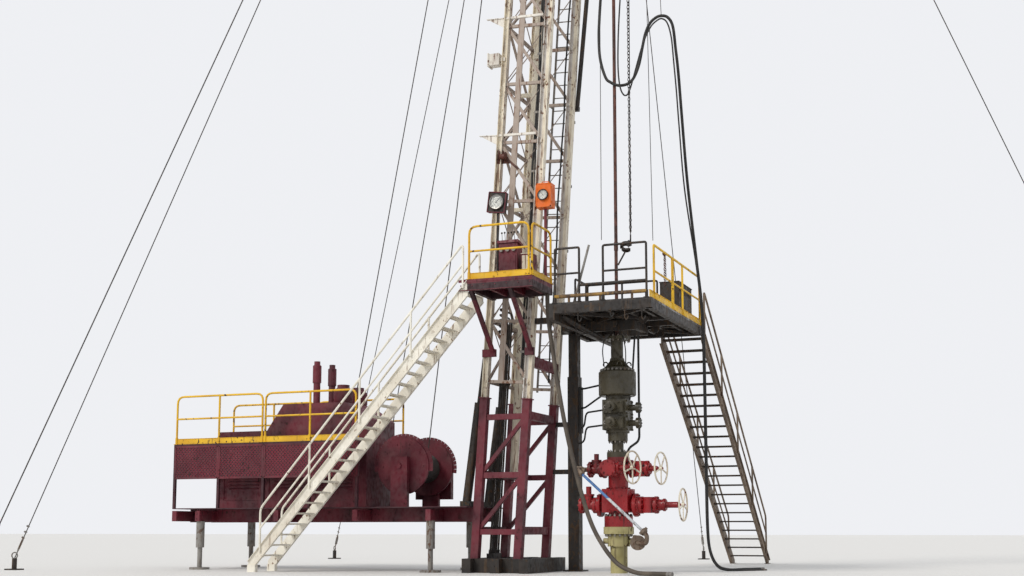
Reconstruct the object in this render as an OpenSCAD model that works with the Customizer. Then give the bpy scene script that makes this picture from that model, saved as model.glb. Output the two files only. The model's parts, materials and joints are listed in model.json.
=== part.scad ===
/* [Site] */
// Distance from the middle of the base beam to the well axis
well_x = 2360; // [2200:10:2600]
// Forward lean of the mast in degrees
lean = 3.6; // [3.2:0.1:4.0]

/* [Base and stand] */
// Height of the base beam above the ground
base_h = 300; // [200:10:400]
// Length of the base beam along the rig
base_l = 1500; // [1400:20:1600]
// Width of the base beam across the rig
base_w = 2300; // [2200:20:2600]
// Height of the stand that carries the mast
stand_h = 3700; // [3500:50:3900]
// Side of a stand post
post_s = 170; // [140:5:200]
// Forward offset of the mast foot from the origin
foot_x = 140; // [100:10:180]

/* [Mast] */
// Depth of the lower mast along the rig
mast_d = 1130; // [1080:10:1180]
// Width of the lower mast across the rig
mast_w = 1800; // [1740:10:1840]
// Length of the lower mast
lower_l = 12200; // [11800:50:12600]
// Length of the upper mast
upper_l = 13800; // [13000:50:14200]
// Overlap of the two mast sections
overlap_l = 1300; // [1100:50:1500]
// Height of one bay of the lattice
bay = 1315; // [1250:5:1400]
// First row of braces above the mast foot
first_row = 349; // [250:10:450]
// Depth of a front leg of the lower mast
leg_front = 170; // [150:5:190]
// Depth of a rear leg of the lower mast
leg_rear = 130; // [110:5:160]
// Breadth of every lower leg
leg_b = 150; // [130:5:160]
// Plate thickness of the leg sections
leg_t = 14; // [10:1:20]
// Side of a lattice brace
brace = 64; // [50:2:80]

/* [Crown and hoist] */
// Height of the crown frame
crown_h = 420; // [360:10:500]
// Diameter of a crown sheave
sheave_d = 760; // [680:10:840]
// Height of the travelling block above the ground
block_z = 16800; // [16000:100:18000]
// Diameter of the tubing
tubing_d = 73; // [60:1:89]
// Diameter of a wire line
line_d = 26; // [20:1:32]

/* [Work floor] */
// Height of the work floor
floor_z = 5460; // [5450:10:5640]
// Breadth of the work floor across the rig
floor_w = 4140; // [3900:20:4300]
// Rear edge of the floor, measured back from the well
floor_back = 1380; // [1320:10:1440]
// Front edge of the floor, measured ahead of the well
floor_front = 1360; // [1250:10:1500]
// Rear edge of the near part of the floor, measured back from the well
near_back = 790; // [760:10:820]
// Depth of the floor's edge beams
floor_depth = 160; // [140:5:180]
// Depth of the beam that carries the middle of the floor
main_depth = 300; // [260:10:340]
// Side of a floor leg
floor_leg = 210; // [180:5:240]
// Opening in the floor over the well
well_hole = 560; // [480:10:620]
// Height of the tongs above the floor
tong_h = 1470; // [1400:10:1540]
// Height above the floor at which the hanging wires end
wire_end = 1640; // [1600:10:1700]
// Length of the tool box
box_l = 1100; // [1000:10:1150]
// Width of the tool box
box_w = 420; // [380:10:450]
// Height of the tool box
box_h = 750; // [700:10:800]

/* [Rails and stairs] */
// Height of the handrails
rail_h = 1140; // [1050:10:1180]
// Diameter of the handrail pipe
rail_d = 48; // [42:1:54]
// Height of the toe board
toe_h = 130; // [100:5:160]
// Rise of one step
rise = 227; // [220:1:232]
// Going of one step of the floor stair
going_r = 295; // [270:5:310]
// Clear width of the floor stair
stair_w = 900; // [840:10:960]
// Going of one step of the operator's stair
going_l = 199; // [190:1:210]
// Clear width of the operator's stair
stair_l_w = 760; // [700:10:820]
// Depth of the stair stringers
stringer_h = 260; // [220:5:300]
// Thickness of the stair stringers
stringer_t = 30; // [20:1:40]
// Depth of a tread
tread_w = 230; // [200:5:240]

/* [Operator's platform] */
// Height of the operator's platform
plat_z = 6050; // [5900:10:6150]
// Length of the platform along the rig
plat_l = 1440; // [1360:10:1520]
// Breadth of the platform across the rig
plat_w = 1210; // [1180:10:1260]
// Rear edge of the platform from the origin
plat_x = -170; // [-230:10:-120]

/* [Well stack] */
// Outer diameter of the bag preventer
bag_d = 796; // [740:4:840]
// Height of the bag preventer's body
bag_h = 560; // [500:10:600]
// Height of the ram preventer
ram_h = 762; // [700:2:800]
// Breadth of the ram preventer's body
ram_w = 520; // [480:10:560]
// Top of the wellhead spool above the ground
spool_z = 2427; // [2300:1:2500]
// Diameter of the stack's bore
stack_bore = 180; // [150:2:200]
// Diameter of the casing bore
casing_bore = 220; // [200:2:240]
// Diameter of a handwheel
wheel_d = 700; // [600:10:740]

/* [Carrier] */
// Height of the carrier deck
deck_z = 1400; // [1300:20:1500]
// Height of the raised walkway
walk_z = 2880; // [2800:20:3000]
// Rear end of the carrier, measured back from the origin
carrier_x = -8100; // [-8400:50:-7800]
// Width of the carrier
carrier_w = 2400; // [2200:20:2440]
// Length of the raised walkways
walk_l = 4900; // [4860:20:5000]
// Width of a raised walkway
walk_w = 520; // [460:10:580]

/* [Guys] */
// Farthest anchor from the well along the rig
guy_reach = 13400; // [12000:100:14000]
// Farthest anchor from the well across the rig
guy_side = 13500; // [12000:100:14500]

/* [Hidden] */

maroon = "#6b1a22";
cream = "#d9cfb4";
black = "#26231f";
yellow = "#d9a514";
olive = "#5b5540";
red = "#a3211c";
steel = "#8c8a86";
tan = "#9a8a72";

// Mast frame: x along the depth, y across, z along the leaning legs
upper_foot = lower_l - overlap_l;
upper_top = upper_foot + upper_l;
front_u = mast_d / 2 - leg_front / 2;
rear_u = -mast_d / 2 + leg_rear / 2;
side_v = mast_w / 2 - leg_b / 2;
upper_gap = 20;
upper_leg = 110;
upper_front = mast_d / 2 - leg_front / 2;
upper_rear = rear_u + leg_rear / 2 + upper_gap + upper_leg / 2;
upper_v = mast_w / 2 - leg_b - upper_gap - upper_leg / 2;
foot_plate = 24;
rows_lower = floor((lower_l - first_row) / bay);
rows_upper = floor((upper_l - first_row) / bay);

floor_x0 = well_x - floor_back;
floor_xn = well_x - near_back;
notch_y = 300;
floor_x1 = well_x + floor_front;
deck_t = 40;
beam_t = 120;
// Clearance at which a piece seats on its neighbour
seat = 0.3;
frame_z0 = floor_z - deck_t - floor_depth;

plat_y1 = -mast_w / 2 - 120;
plat_y0 = plat_y1 - plat_w;
plat_t = 50;
plat_beam = 180;

steps_r = floor(floor_z / rise);
stair_r_x = floor_x1 - stair_w - 2 * stringer_t;
stair_r_y = floor_w / 2;
steps_l = floor(plat_z / rise);
stair_l_y = plat_y0 + 30;
stair_l_x = plat_x;

ram_z = spool_z + 516;
bag_z = ram_z + ram_h;
ram_level = [ram_h * 0.27, ram_h * 0.7];
cone_h = 279;
nipple_h = 409;

carrier_y = carrier_w / 2;
frame_beam = 300;
jack_top = deck_z - frame_beam;
carrier_end = lean_x(rear_u, jack_top) - post_s / 2 - 12;
jack_x = [carrier_x + 700, carrier_end - 900];

// Place of a point of the mast frame
function mast_pt(u, v, w) =
  [foot_x + u * cos(lean) + w * sin(lean), v, stand_h - u * sin(lean) + w * cos(lean)];

// Place along the rig of a leaning line at a height above the ground
function lean_x(u, z) = foot_x + u / cos(lean) + (z - stand_h) * tan(lean);

// Leans a piece with the mast, about the middle of its foot
module leaned() {
  translate([foot_x, 0, stand_h]) rotate([0, lean, 0]) children();
}

// Square bar between two points
module bar(p, q, w, t) {
  d = q - p;
  l = norm(d);
  translate(p) rotate([0, acos(d.z / l), atan2(d.y, d.x)])
    translate([-w / 2, -t / 2, 0]) cube([w, t, l]);
}

// Round bar between two points, with n flat sides
module pipe(p, q, d, n = 8) {
  v = q - p;
  l = norm(v);
  translate(p) rotate([0, acos(v.z / l), atan2(v.y, v.x)])
    cylinder(h = l, d = d, $fn = n);
}

// Box given by its lowest corner and its size, centred across the rig
module beam_x(x0, x1, y, z, w, h) {
  translate([x0, y - w / 2, z]) cube([x1 - x0, w, h]);
}
module beam_y(x, y0, y1, z, w, h) {
  translate([x - w / 2, y0, z]) cube([w, y1 - y0, h]);
}

// Rolled section of a leg: two flanges along x joined by a web
module leg(depth, breadth, t, l) {
  linear_extrude(l) union() {
    translate([-depth / 2, -breadth / 2]) square([t, breadth]);
    translate([depth / 2 - t, -breadth / 2]) square([t, breadth]);
    translate([-depth / 2, -t / 2]) square([depth, t]);
  }
}

module base_beam() color(black) {
  difference() {
    union() {
      for (s = [-1, 1])
        beam_x(-base_l / 2, base_l / 2, s * side_v, 0, 240, base_h);
      for (x = [-base_l / 2 + 100, 0, base_l / 2 - 100])
        beam_y(x, -base_w / 2, base_w / 2, 0, 200, base_h);
    }
    for (s = [-1, 1])
      translate([0, s * side_v, base_h / 2]) rotate([90, 0, 0])
        cylinder(h = 2 * base_w, d = 20, center = true, $fn = 24);
  }
}

// Heights of the level ties of the stand
tie_z = [base_h + 500, (base_h + stand_h) / 2, stand_h - 460];
ram_u0 = -70;
module stand_side(s) {
  difference() {
    union() {
      for (u = [rear_u, front_u])
        leaned() translate([u - post_s / 2, s * side_v - post_s / 2, -stand_h])
          cube([post_s, post_s, stand_h - foot_plate]);
      for (z = tie_z)
        beam_x(lean_x(rear_u, z), lean_x(front_u, z), s * side_v, z, 110, 120);
      for (i = [0, 1])
        bar([lean_x(rear_u, tie_z[i] + 60), s * side_v, tie_z[i] + 60],
          [lean_x(front_u, tie_z[i + 1] + 60), s * side_v, tie_z[i + 1] + 60], 80, 80);
    }
    translate([-base_l, -base_w, base_h - stand_h]) cube([2 * base_l, 2 * base_w, stand_h]);
  }
  for (u = [rear_u, front_u])
    leaned() translate([u - post_s / 2 - 25, s * side_v - post_s / 2 - 20, -foot_plate])
      cube([post_s + 50, post_s + 40, foot_plate]);
}

module base_stand() color(maroon) {
  stand_side(-1);
  stand_side(1);
}

module stand_cross_beams() color(maroon) {
  y1 = side_v - post_s / 2;
  for (z = [tie_z[0], tie_z[2]])
    beam_y(lean_x(front_u, z + 85), -y1, y1, z, 120, 170);
  for (z = [tie_z[0], tie_z[1]])
    beam_y(lean_x(rear_u, z + 85), -y1, y1, z, 120, 170);
  // Seat of the telescope ram, between the side ties
  beam_y(lean_x(ram_u0, tie_z[1]), -side_v + 55, side_v - 55, tie_z[1], 220, 120);
  leaned() translate([front_u - 60, -side_v + leg_t / 2, 700]) cube([120, 2 * side_v - leg_t, 220]);
}

// Two hydraulic rams that lift the mast, between the carrier deck and the back of the mast
ram_foot_x = carrier_end - 260;
ram_y = side_v - 230;
ram_u = rear_u - brace / 2 - 80;
ram_w0 = first_row + bay;
module raising_rams() {
  for (s = [-1, 1]) {
    a = [ram_foot_x, s * ram_y, deck_z + 100];
    b = mast_pt(ram_u, s * ram_y, ram_w0);
    m = a + (b - a) * 0.55;
    color(black) {
      pipe(a, m, 190, 16);
      translate(a - [110, 120, 100]) cube([220, 240, 120]);
    }
    color(steel) pipe(m, b, 90, 16);
    color(steel) translate(b - [50, 60, 50]) cube([100, 120, 100]);
    color(maroon) leaned() for (y = [-80, 60])
      translate([ram_u - 60, s * ram_y + y, ram_w0 - 50]) cube([rear_u - brace / 2 - ram_u + 60, 20, 100]);
  }
}

// One side of a mast section: two legs, a thin middle post, level rows and one brace in each bay
mid_u = -150;
module mast_side(s, v, uf, ur, fd, rd, lb, l, rows, row0, b) {
  translate([uf, s * v, 0]) leg(fd, lb, leg_t, l);
  translate([ur, s * v, 0]) leg(rd, lb, leg_t, l);
  translate([mid_u - b, s * v - b / 2, row0]) cube([2 * b, b * 0.6, rows * bay]);
  for (i = [0 : rows])
    translate([ur, s * v - b / 2, row0 + i * bay - b / 2]) cube([uf - ur, b, b]);
  for (i = [0 : rows - 1])
    bar([ur, s * v, row0 + (i + 1) * bay], [uf, s * v, row0 + i * bay], b, b * 0.8);
}

module lower_side(s) color(cream) {
  leaned() mast_side(s, side_v, front_u, rear_u, leg_front, leg_rear, leg_b, lower_l,
    rows_lower, first_row, brace);
}
module lower_mast_near_side() lower_side(-1);
module lower_mast_far_side() lower_side(1);

// Back face of a mast section: level rows and crossing braces
module mast_back(u, half, l0, rows, b) {
  for (i = [0 : rows])
    translate([u - b / 2, -half, l0 + i * bay - b / 2]) cube([b, 2 * half, b]);
  for (i = [0 : rows - 1]) {
    z0 = l0 + i * bay;
    s = i % 2 == 0 ? 1 : -1;
    bar([u, -s * (half - b), z0], [u, s * (half - b), z0 + bay], b * 0.8, b * 0.7);
  }
}

module lower_mast_back() color(cream)
  leaned() mast_back(rear_u, side_v - brace / 2, first_row, rows_lower, brace);

module upper_side(s) color(cream) {
  leaned() translate([0, 0, upper_foot])
    mast_side(s, upper_v, upper_front, upper_rear, upper_leg, upper_leg, upper_leg, upper_l,
      rows_upper, first_row, brace * 0.85);
}
module upper_mast_near_side() upper_side(-1);
module upper_mast_far_side() upper_side(1);

module upper_mast_back() color(cream) {
  leaned() mast_back(upper_rear, upper_v - brace * 0.425, upper_foot + first_row, rows_upper,
    brace * 0.85);
  // Two locking bars carry the upper section on the lower one
  leaned() for (u = [upper_rear, upper_front])
    translate([u - 45, -mast_w / 2 + leg_b, upper_foot - 90]) cube([90, mast_w - 2 * leg_b, 90]);
  leaned() translate([upper_rear, -60, upper_foot - 90]) cube([upper_front - upper_rear, 120, 90]);
}

// Hydraulic ram that pushes the upper section out, from a seat in the stand
ram_d = 180;
ram_body = 9200;
module telescope_ram() {
  x = lean_x(ram_u0, tie_z[1] + 120);
  z = tie_z[1] + 120;
  color(cream) translate([x, 0, z]) cylinder(h = 60, d = ram_d * 0.9, $fn = 32);
  color(cream) difference() {
    leaned() translate([ram_u0, 0, -stand_h]) cylinder(h = stand_h + ram_body, d = ram_d, $fn = 32);
    translate([x - 2 * ram_d, -2 * ram_d, z + 20 - stand_h]) cube([4 * ram_d, 4 * ram_d, stand_h]);
  }
  color(steel) leaned() translate([ram_u0, 0, ram_body])
    cylinder(h = upper_foot - 90 - ram_body, d = ram_d * 0.65, $fn = 32);
  color(maroon) leaned() for (k = [1, 3, 5])
    translate([rear_u + brace / 2, -40, first_row + k * bay - 40])
      cube([ram_u0 - rear_u - brace / 2 - ram_d / 4, 80, 80]);
}

// Ladder on the far side of the mast, clear of the far legs
ladder_u = 150;
ladder_w = 380;
module mast_ladder() color(steel) {
  leaned() {
    v = mast_w / 2 + 170;
    top = upper_top - 300;
    for (s = [-1, 1])
      translate([ladder_u + s * ladder_w / 2 - 20, v - 20, 300]) cube([40, 40, top - 300]);
    for (z = [450 : 305 : top - 150])
      translate([ladder_u - ladder_w / 2, v - 10, z]) cube([ladder_w, 20, 20]);
    for (i = [1 : 2 : rows_lower])
      for (s = [-1, 1])
        translate([ladder_u + s * ladder_w / 2 - 18, side_v + brace / 2, first_row + i * bay - 18])
          cube([36, v - side_v - brace / 2, 36]);
    for (i = [2 : 2 : rows_upper])
      for (s = [-1, 1])
        translate([ladder_u + s * ladder_w / 2 - 18, upper_v + brace * 0.425,
            upper_foot + first_row + i * bay - 18])
          cube([36, v - upper_v - brace * 0.425, 36]);
  }
}

// Crown frame: two beams across the legs and two that reach out over the well
crown_reach = well_x - foot_x - (upper_top + crown_h / 2) * sin(lean);
// Underside and top of the crown frame's cross beams, above the mast's top
beam_low = 60;
beam_top = beam_low + crown_h * 0.42;
module crown_frame() color(cream) {
  leaned() translate([0, 0, upper_top]) {
    for (v = [-1, 1])
      translate([upper_rear - 200, v * upper_v - 60, 0])
        cube([beam_u[1] + 260 - upper_rear, 120, crown_h]);
    for (u = [upper_rear - 80, beam_u[0], beam_u[1]])
      translate([u - 60, -upper_v, beam_low]) cube([120, 2 * upper_v, beam_top - beam_low]);
  }
}

// Sheave: grooved wheel turned about its own axis
module sheave(d, w) {
  difference() {
    rotate_extrude($fn = 48) polygon([
      [30, -w / 2], [d / 2, -w / 2], [d / 2, -w / 2 + 6], [d / 2 - groove, -8],
      [d / 2 - groove, 8], [d / 2, w / 2 - 6], [d / 2, w / 2], [30, w / 2]]);
    for (a = [0 : 60 : 300])
      rotate(a) translate([d / 4, 0, -w]) cylinder(h = 2 * w, d = d / 6, $fn = 24);
  }
}

sheave_v = [-190, -65, 65, 190];
fast_u = upper_rear + 60;
fast_d = sheave_d * 0.8;
block_sheave = sheave_d * 0.72;
block_v = 55;
groove = 28;
// Room between the cross beams and the sheaves above them
sheave_gap = 25;
sheave_z = max(crown_h + 150, beam_top + sheave_d / 2 + sheave_gap);
module crown_sheaves() color(steel) {
  leaned() translate([0, 0, upper_top + sheave_z]) {
    for (v = sheave_v)
      translate([crown_reach, v, 0]) rotate([90, 0, 0]) sheave(sheave_d, 90);
    translate([crown_reach, -upper_v, 0]) rotate([-90, 0, 0]) cylinder(h = 2 * upper_v, d = 60, $fn = 32);
    for (s = [-1, 1])
      translate([crown_reach - 90, s * upper_v - 50, crown_h - sheave_z]) difference() {
        cube([180, 100, sheave_z - crown_h + 90]);
        translate([90, -10, sheave_z - crown_h]) rotate([-90, 0, 0]) cylinder(h = 120, d = 60, $fn = 32);
      }
    translate([fast_u, 0, 0]) rotate([90, 0, 0]) sheave(fast_d, 90);
    translate([fast_u, -upper_v, 0]) rotate([-90, 0, 0]) cylinder(h = 2 * upper_v, d = 60, $fn = 32);
    for (s = [-1, 1])
      translate([fast_u - 90, s * upper_v - 50, crown_h - sheave_z]) difference() {
        cube([180, 100, sheave_z - crown_h + 90]);
        translate([90, -10, sheave_z - crown_h]) rotate([-90, 0, 0]) cylinder(h = 120, d = 60, $fn = 32);
      }
  }
}

block_axle = 900;
// Travelling block: cheek plates round the sheaves, with a hook below
module travelling_block() {
  translate([well_x, 0, block_z]) {
    color(yellow) {
      for (v = [-150, 110])
        translate([0, v, 0]) hull() {
          translate([0, 0, block_axle]) rotate([-90, 0, 0]) cylinder(h = 40, d = 620, $fn = 32);
          translate([0, 0, 200]) rotate([-90, 0, 0]) cylinder(h = 40, d = 300, $fn = 32);
        }
      translate([-130, -110, 80]) cube([260, 220, 150]);
    }
    color(steel) {
      for (v = [-block_v, block_v])
        translate([0, v, block_axle]) rotate([90, 0, 0]) sheave(block_sheave, 80);
      translate([0, -180, block_axle]) rotate([-90, 0, 0]) cylinder(h = 360, d = 60, $fn = 32);
      translate([0, 0, -250]) cylinder(h = 330, d = 110, $fn = 32);
      translate([-90, -60, -470]) cube([180, 120, 220]);
    }
  }
}

// Two links and the elevator that holds the tubing
elev_z = block_z - 2350;
module tubing_elevator() color(steel) {
  for (s = [-1, 1])
    pipe([well_x, s * 100, elev_z + 150], [well_x, s * 100, block_z - 400], 45, 8);
  translate([well_x, 0, block_z - 400]) rotate([90, 0, 0]) translate([0, 0, -125])
    difference() {
      cylinder(h = 250, d = 90, $fn = 24);
      translate([0, 0, 65]) cylinder(h = 120, d = 200, $fn = 24);
    }
  translate([well_x, 0, elev_z]) difference() {
    cylinder(h = 200, d = 330, $fn = 32);
    translate([0, 0, -10]) cylinder(h = 220, d = tubing_d + 6, $fn = 32);
  }
}

module tubing_string() color("#6b3a2c") {
  translate([well_x, 0, spool_z]) cylinder(h = elev_z + 200 - spool_z, d = tubing_d, $fn = 32);
  translate([well_x, 0, elev_z + 200]) cylinder(h = 120, d = tubing_d + 20, $fn = 32);
  // Collar just under the tongs
  translate([well_x, 0, tong_z - 30]) cylinder(h = 180, d = tubing_d + 18, $fn = 32);
}

// Wire lines between the crown and the block, and the fast line to the drum
module hoist_lines() color(black) {
  rb = block_sheave / 2 - groove + line_d / 2;
  rc = sheave_d / 2 - groove + line_d / 2;
  for (s = [-1, 1])
    for (f = [-1, 1])
      pipe([well_x + f * rb, s * block_v, block_z + block_axle],
        mast_pt(crown_reach, s * sheave_v[2], upper_top + sheave_z) + [f * rc, 0, 0], line_d, 8);
  drum = [drum_x, -150, drum_z];
  top = mast_pt(fast_u, 0, upper_top + sheave_z) - [fast_d / 2 - groove + line_d / 2, 0, 0];
  lay = atan2(top.x - drum.x, top.z - drum.z);
  pipe(drum + (drum_d / 2 + line_d / 2) * [cos(lay), 0, -sin(lay)], top, line_d, 8);
}

// Chain and wires that hang over the floor
tong_x = well_x + 330;
tong_z = floor_z + tong_h;
wire_x = [-245, 770];
wire_y = [-260, 200];
beam_u = [upper_front + 20, crown_reach + sheave_d / 2 + 100];
module tong_line() color(black) {
  low = upper_top + beam_low - 0.9;
  pipe([tong_x, 0, tong_z + 300], mast_pt(beam_u[1] - 40, 0, low), line_d * 0.8, 8);
  pipe([well_x + wire_x[0], wire_y[0], floor_z + wire_end], mast_pt(beam_u[0] - 40, wire_y[0], low),
    line_d * 0.6, 8);
  pipe([well_x + wire_x[1], wire_y[1], floor_z + wire_end], mast_pt(beam_u[1] + 30, wire_y[1], low),
    line_d * 0.6, 8);
  // Wire that holds up the arch of the long hose
  arch = long_pts[19];
  pipe([well_x + arch.x, arch.y, arch.z + hose_d / 2 + 1.2], mast_pt(beam_u[1] + 30, 60, low), line_d * 0.6, 8);
  // Clamp of the thin hose on the chain
  clip = thin_pts[0];
  translate([well_x + clip.x + 35, 0, clip.z - 40]) rotate([90, 0, 0]) cylinder(h = 45.5, d = 80, $fn = 16);
}

module floor_frame() color(black) {
  y1 = floor_w / 2;
  h = floor_depth;
  beam_y(floor_x1 - beam_t / 2, -y1, y1, frame_z0, beam_t, h);
  beam_y(floor_x0 + beam_t / 2, notch_y, y1, frame_z0, beam_t, h);
  beam_y(floor_xn + beam_t / 2, -y1, y1, floor_z - deck_t - main_depth, beam_t, main_depth);
  beam_x(floor_xn, floor_x1, -y1 + beam_t / 2, frame_z0, beam_t, h);
  beam_x(floor_x0, floor_x1, y1 - beam_t / 2, frame_z0, beam_t, h);
  beam_x(floor_x0, floor_xn, notch_y + beam_t / 2, frame_z0, beam_t, h);
  for (s = [-1, 1])
    beam_x(floor_xn, floor_x1, s * (well_hole / 2 + 120), frame_z0, 100, h);
  for (s = [-1, 1])
    beam_x(floor_xn, floor_x1, s * (y1 + well_hole / 2) / 2, frame_z0 + h / 2, 80, h / 2);
  // Arms from the front legs of the mast
  arm_h = h - 40;
  for (s = [-1, 1]) {
    x0 = lean_x(mast_d / 2, frame_z0 + arm_h) + seat;
    translate([x0, s * side_v - 60, frame_z0]) cube([(s > 0 ? floor_x0 : floor_xn) - x0, 120, arm_h]);
  }
}

module floor_deck() color(black) {
  difference() {
    translate([floor_x0, -floor_w / 2, floor_z - deck_t])
      cube([floor_x1 - floor_x0, floor_w, deck_t]);
    translate([floor_x0 - deck_t, -floor_w, floor_z - 2 * deck_t])
      cube([floor_xn - floor_x0 + deck_t, floor_w + notch_y, 4 * deck_t]);
    translate([well_x, 0, floor_z - 2 * deck_t])
      cylinder(h = 4 * deck_t, d = well_hole, $fn = 48);
  }
}

// Rail along a straight edge: posts, top and middle rails
module rail_run(p, q, n, h) {
  for (i = [0 : n])
    translate(p + (q - p) * i / n) cylinder(h = h, d = rail_d, $fn = 8);
  pipe(p + [0, 0, h - rail_d / 2], q + [0, 0, h - rail_d / 2], rail_d, 8);
  pipe(p + [0, 0, h * 0.52], q + [0, 0, h * 0.52], rail_d * 0.9, 8);
}

rail_in = 40;
module floor_rails() color(black) {
  y1 = floor_w / 2 - rail_in;
  x0 = floor_x0 + rail_in;
  x1 = floor_x1 - rail_in;
  // Near side: two hoops, the front one with a third rail, and a pipe in place of the toe board
  xn = floor_xn + rail_in + 85;
  xf = x1 - 60;
  rail_run([xn, -y1, floor_z], [xn + 520, -y1, floor_z], 1, rail_h);
  rail_run([xf - 900, -y1, floor_z], [xf, -y1, floor_z], 1, rail_h);
  pipe([xf - 900, -y1, floor_z + rail_h * 0.3], [xf, -y1, floor_z + rail_h * 0.3], rail_d, 8);
  pipe([xn, -y1, floor_z + toe_h], [xf, -y1, floor_z + toe_h], rail_d * 1.3, 8);
  // Far side, left open at the head of the stair
  rail_run([x0, y1, floor_z], [stair_r_x - 60, y1, floor_z], 2, rail_h);
  translate([x0, y1 - 6, floor_z]) cube([stair_r_x - 60 - x0, 12, toe_h]);
  // Rear edge, from the mast to the far side
  rail_run([x0, y1 - 120, floor_z], [x0, mast_w / 2 + 250, floor_z], 1, rail_h);
}

module floor_rail_front() color(yellow) {
  y1 = floor_w / 2 - rail_in;
  x1 = floor_x1 - rail_in;
  rail_run([x1, -y1, floor_z], [x1, y1, floor_z], 4, rail_h);
  translate([x1 - 6, -y1, floor_z]) cube([12, 2 * y1, toe_h]);
}

floor_leg_x = floor_x0 + floor_leg / 2;
floor_leg_y = side_v + 60;
sleeve_t = 20;
sole_t = 30;
leg_bare = 970;
// Leg under the far part of the floor, tied to the stand and to the mast beside it
module floor_leg() color(black) {
  y = floor_leg_y;
  h = floor_leg / 2;
  translate([floor_leg_x - h, y - h, sole_t]) cube([floor_leg, floor_leg, frame_z0 - sole_t]);
  translate([floor_leg_x - 220, y - 220, 0]) cube([440, 440, sole_t]);
  translate([floor_leg_x - h - sleeve_t, y - h - sleeve_t, sole_t])
    cube([floor_leg + 2 * sleeve_t, floor_leg + 2 * sleeve_t, frame_z0 - leg_bare - sole_t]);
  for (z = [tie_z[1] + 130, tie_z[2] - 60]) {
    x = lean_x(front_u + post_s / 2, z + 100) + seat;
    translate([x, y - 120, z]) cube([floor_leg_x - x, 100, 100]);
  }
}

module tool_box() color(black) {
  x1 = floor_x1 - rail_in - 60;
  translate([x1 - box_w, 450, floor_z]) {
    cube([box_w, box_l, box_h]);
    translate([-12, -12, box_h]) cube([box_w + 24, box_l + 24, 20]);
  }
}

// Tongs that hang on their chain beside the tubing
module pipe_tongs() color(black) {
  translate([well_x + 175, 0, tong_z - 100]) {
    difference() {
      cylinder(h = 90, d = 240, $fn = 32);
      translate([0, 0, -10]) cylinder(h = 110, d = 120, $fn = 32);
    }
    translate([90, -45, 0]) cube([190, 90, 90]);
    translate([tong_x - well_x - 175, 0, -220]) cylinder(h = 620, d = 36, $fn = 16);
    translate([tong_x - well_x - 235, -25, -300]) cube([120, 50, 90]);
  }
}

// Sloping side plate of a stair that runs along +y, drawn in its own plane
module stringer(n, go, t) {
  run = (n - 1) * go;
  drop = n * rise;
  rotate([90, 0, 90]) linear_extrude(t)
    polygon([[0, 0], [run + go, -drop + rise * 0.35], [run + go, -drop],
      [run, -drop], [0, -stringer_h * 1.3]]);
}

module floor_stair_at() {
  translate([stair_r_x, stair_r_y, floor_z]) children();
}

module floor_stair_stringers() color(tan) floor_stair_at() {
  for (x = [0, stair_w + stringer_t])
    translate([x, 0, 0]) stringer(steps_r, going_r, stringer_t);
  // Shoes that stand on the ground
  for (x = [0, stair_w + stringer_t])
    translate([x - 40, (steps_r - 1) * going_r, -floor_z])
      cube([stringer_t + 80, going_r, floor_z - steps_r * rise]);
}

module floor_stair_treads() color(black) floor_stair_at() {
  for (i = [1 : steps_r - 1])
    translate([stringer_t, i * going_r - going_r + 40, -i * rise - 45])
      cube([stair_w, tread_w, 35]);
}

// Handrail along a stair that runs along +y
module stair_rail(n, go, h) {
  run = (n - 1) * go;
  drop = (n - 1) * rise;
  for (f = [0.02, 0.26, 0.5, 0.74, 0.98])
    translate([0, run * f, -drop * f - 60]) rotate(22.5) cylinder(h = h + 60, d = rail_d, $fn = 8);
  pipe([0, run * 0.02, h - drop * 0.02 - rail_d / 2], [0, run * 0.98, h - drop * 0.98 - rail_d / 2], rail_d, 8);
  pipe([0, run * 0.02, h / 2 - drop * 0.02], [0, run * 0.98, h / 2 - drop * 0.98], rail_d * 0.8, 8);
}

module floor_stair_handrails() color(black) floor_stair_at() {
  for (x = [-rail_d / 2, stair_w + 2 * stringer_t + rail_d / 2])
    translate([x, 0, 0]) stair_rail(steps_r, going_r, 950);
}

module operator_platform() {
  color(maroon) {
    for (x = [plat_x + 50, plat_x + plat_l - 50])
      beam_y(x, plat_y0, plat_y1, plat_z - plat_t - plat_beam, 100, plat_beam);
    for (y = [plat_y0 + 50, plat_y1 - 50])
      beam_x(plat_x, plat_x + plat_l, y, plat_z - plat_t - plat_beam, 100, plat_beam);
    // Arms and knees that carry the platform on the near legs of the mast
    z = plat_z - plat_t - plat_beam;
    for (k = [[rear_u, plat_x + 50], [front_u, lean_x(front_u, z)]]) {
      x = k[1];
      leg_x = lean_x(k[0], z - 1150);
      translate([x - 50, plat_y1 - 100, z]) cube([100, -mast_w / 2 - plat_y1 + 100, plat_beam]);
      bar([x, -mast_w / 2 - 45, z - 1150], [x, plat_y0 + 60, z + 40], 80, 80);
      translate([leg_x - 60, -mast_w / 2 - 90, z - 1230]) cube([x - leg_x + 120, 90, 160]);
    }
  }
  color(black) translate([plat_x, plat_y0, plat_z - plat_t]) cube([plat_l, plat_w, plat_t]);
}

module operator_rail() color(yellow) {
  x0 = plat_x + 30;
  x1 = plat_x + plat_l - 30;
  y0 = plat_y0 + 30;
  y1 = plat_y1 - 30;
  rail_run([x0, y0, plat_z], [x1, y0, plat_z], 2, rail_h);
  rail_run([x1, y0, plat_z], [x1, y1, plat_z], 1, rail_h);
  translate([x0, y0 - 5, plat_z]) cube([x1 - x0, 10, toe_h]);
  translate([x1 - 5, y0, plat_z]) cube([10, y1 - y0, toe_h]);
}

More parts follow.
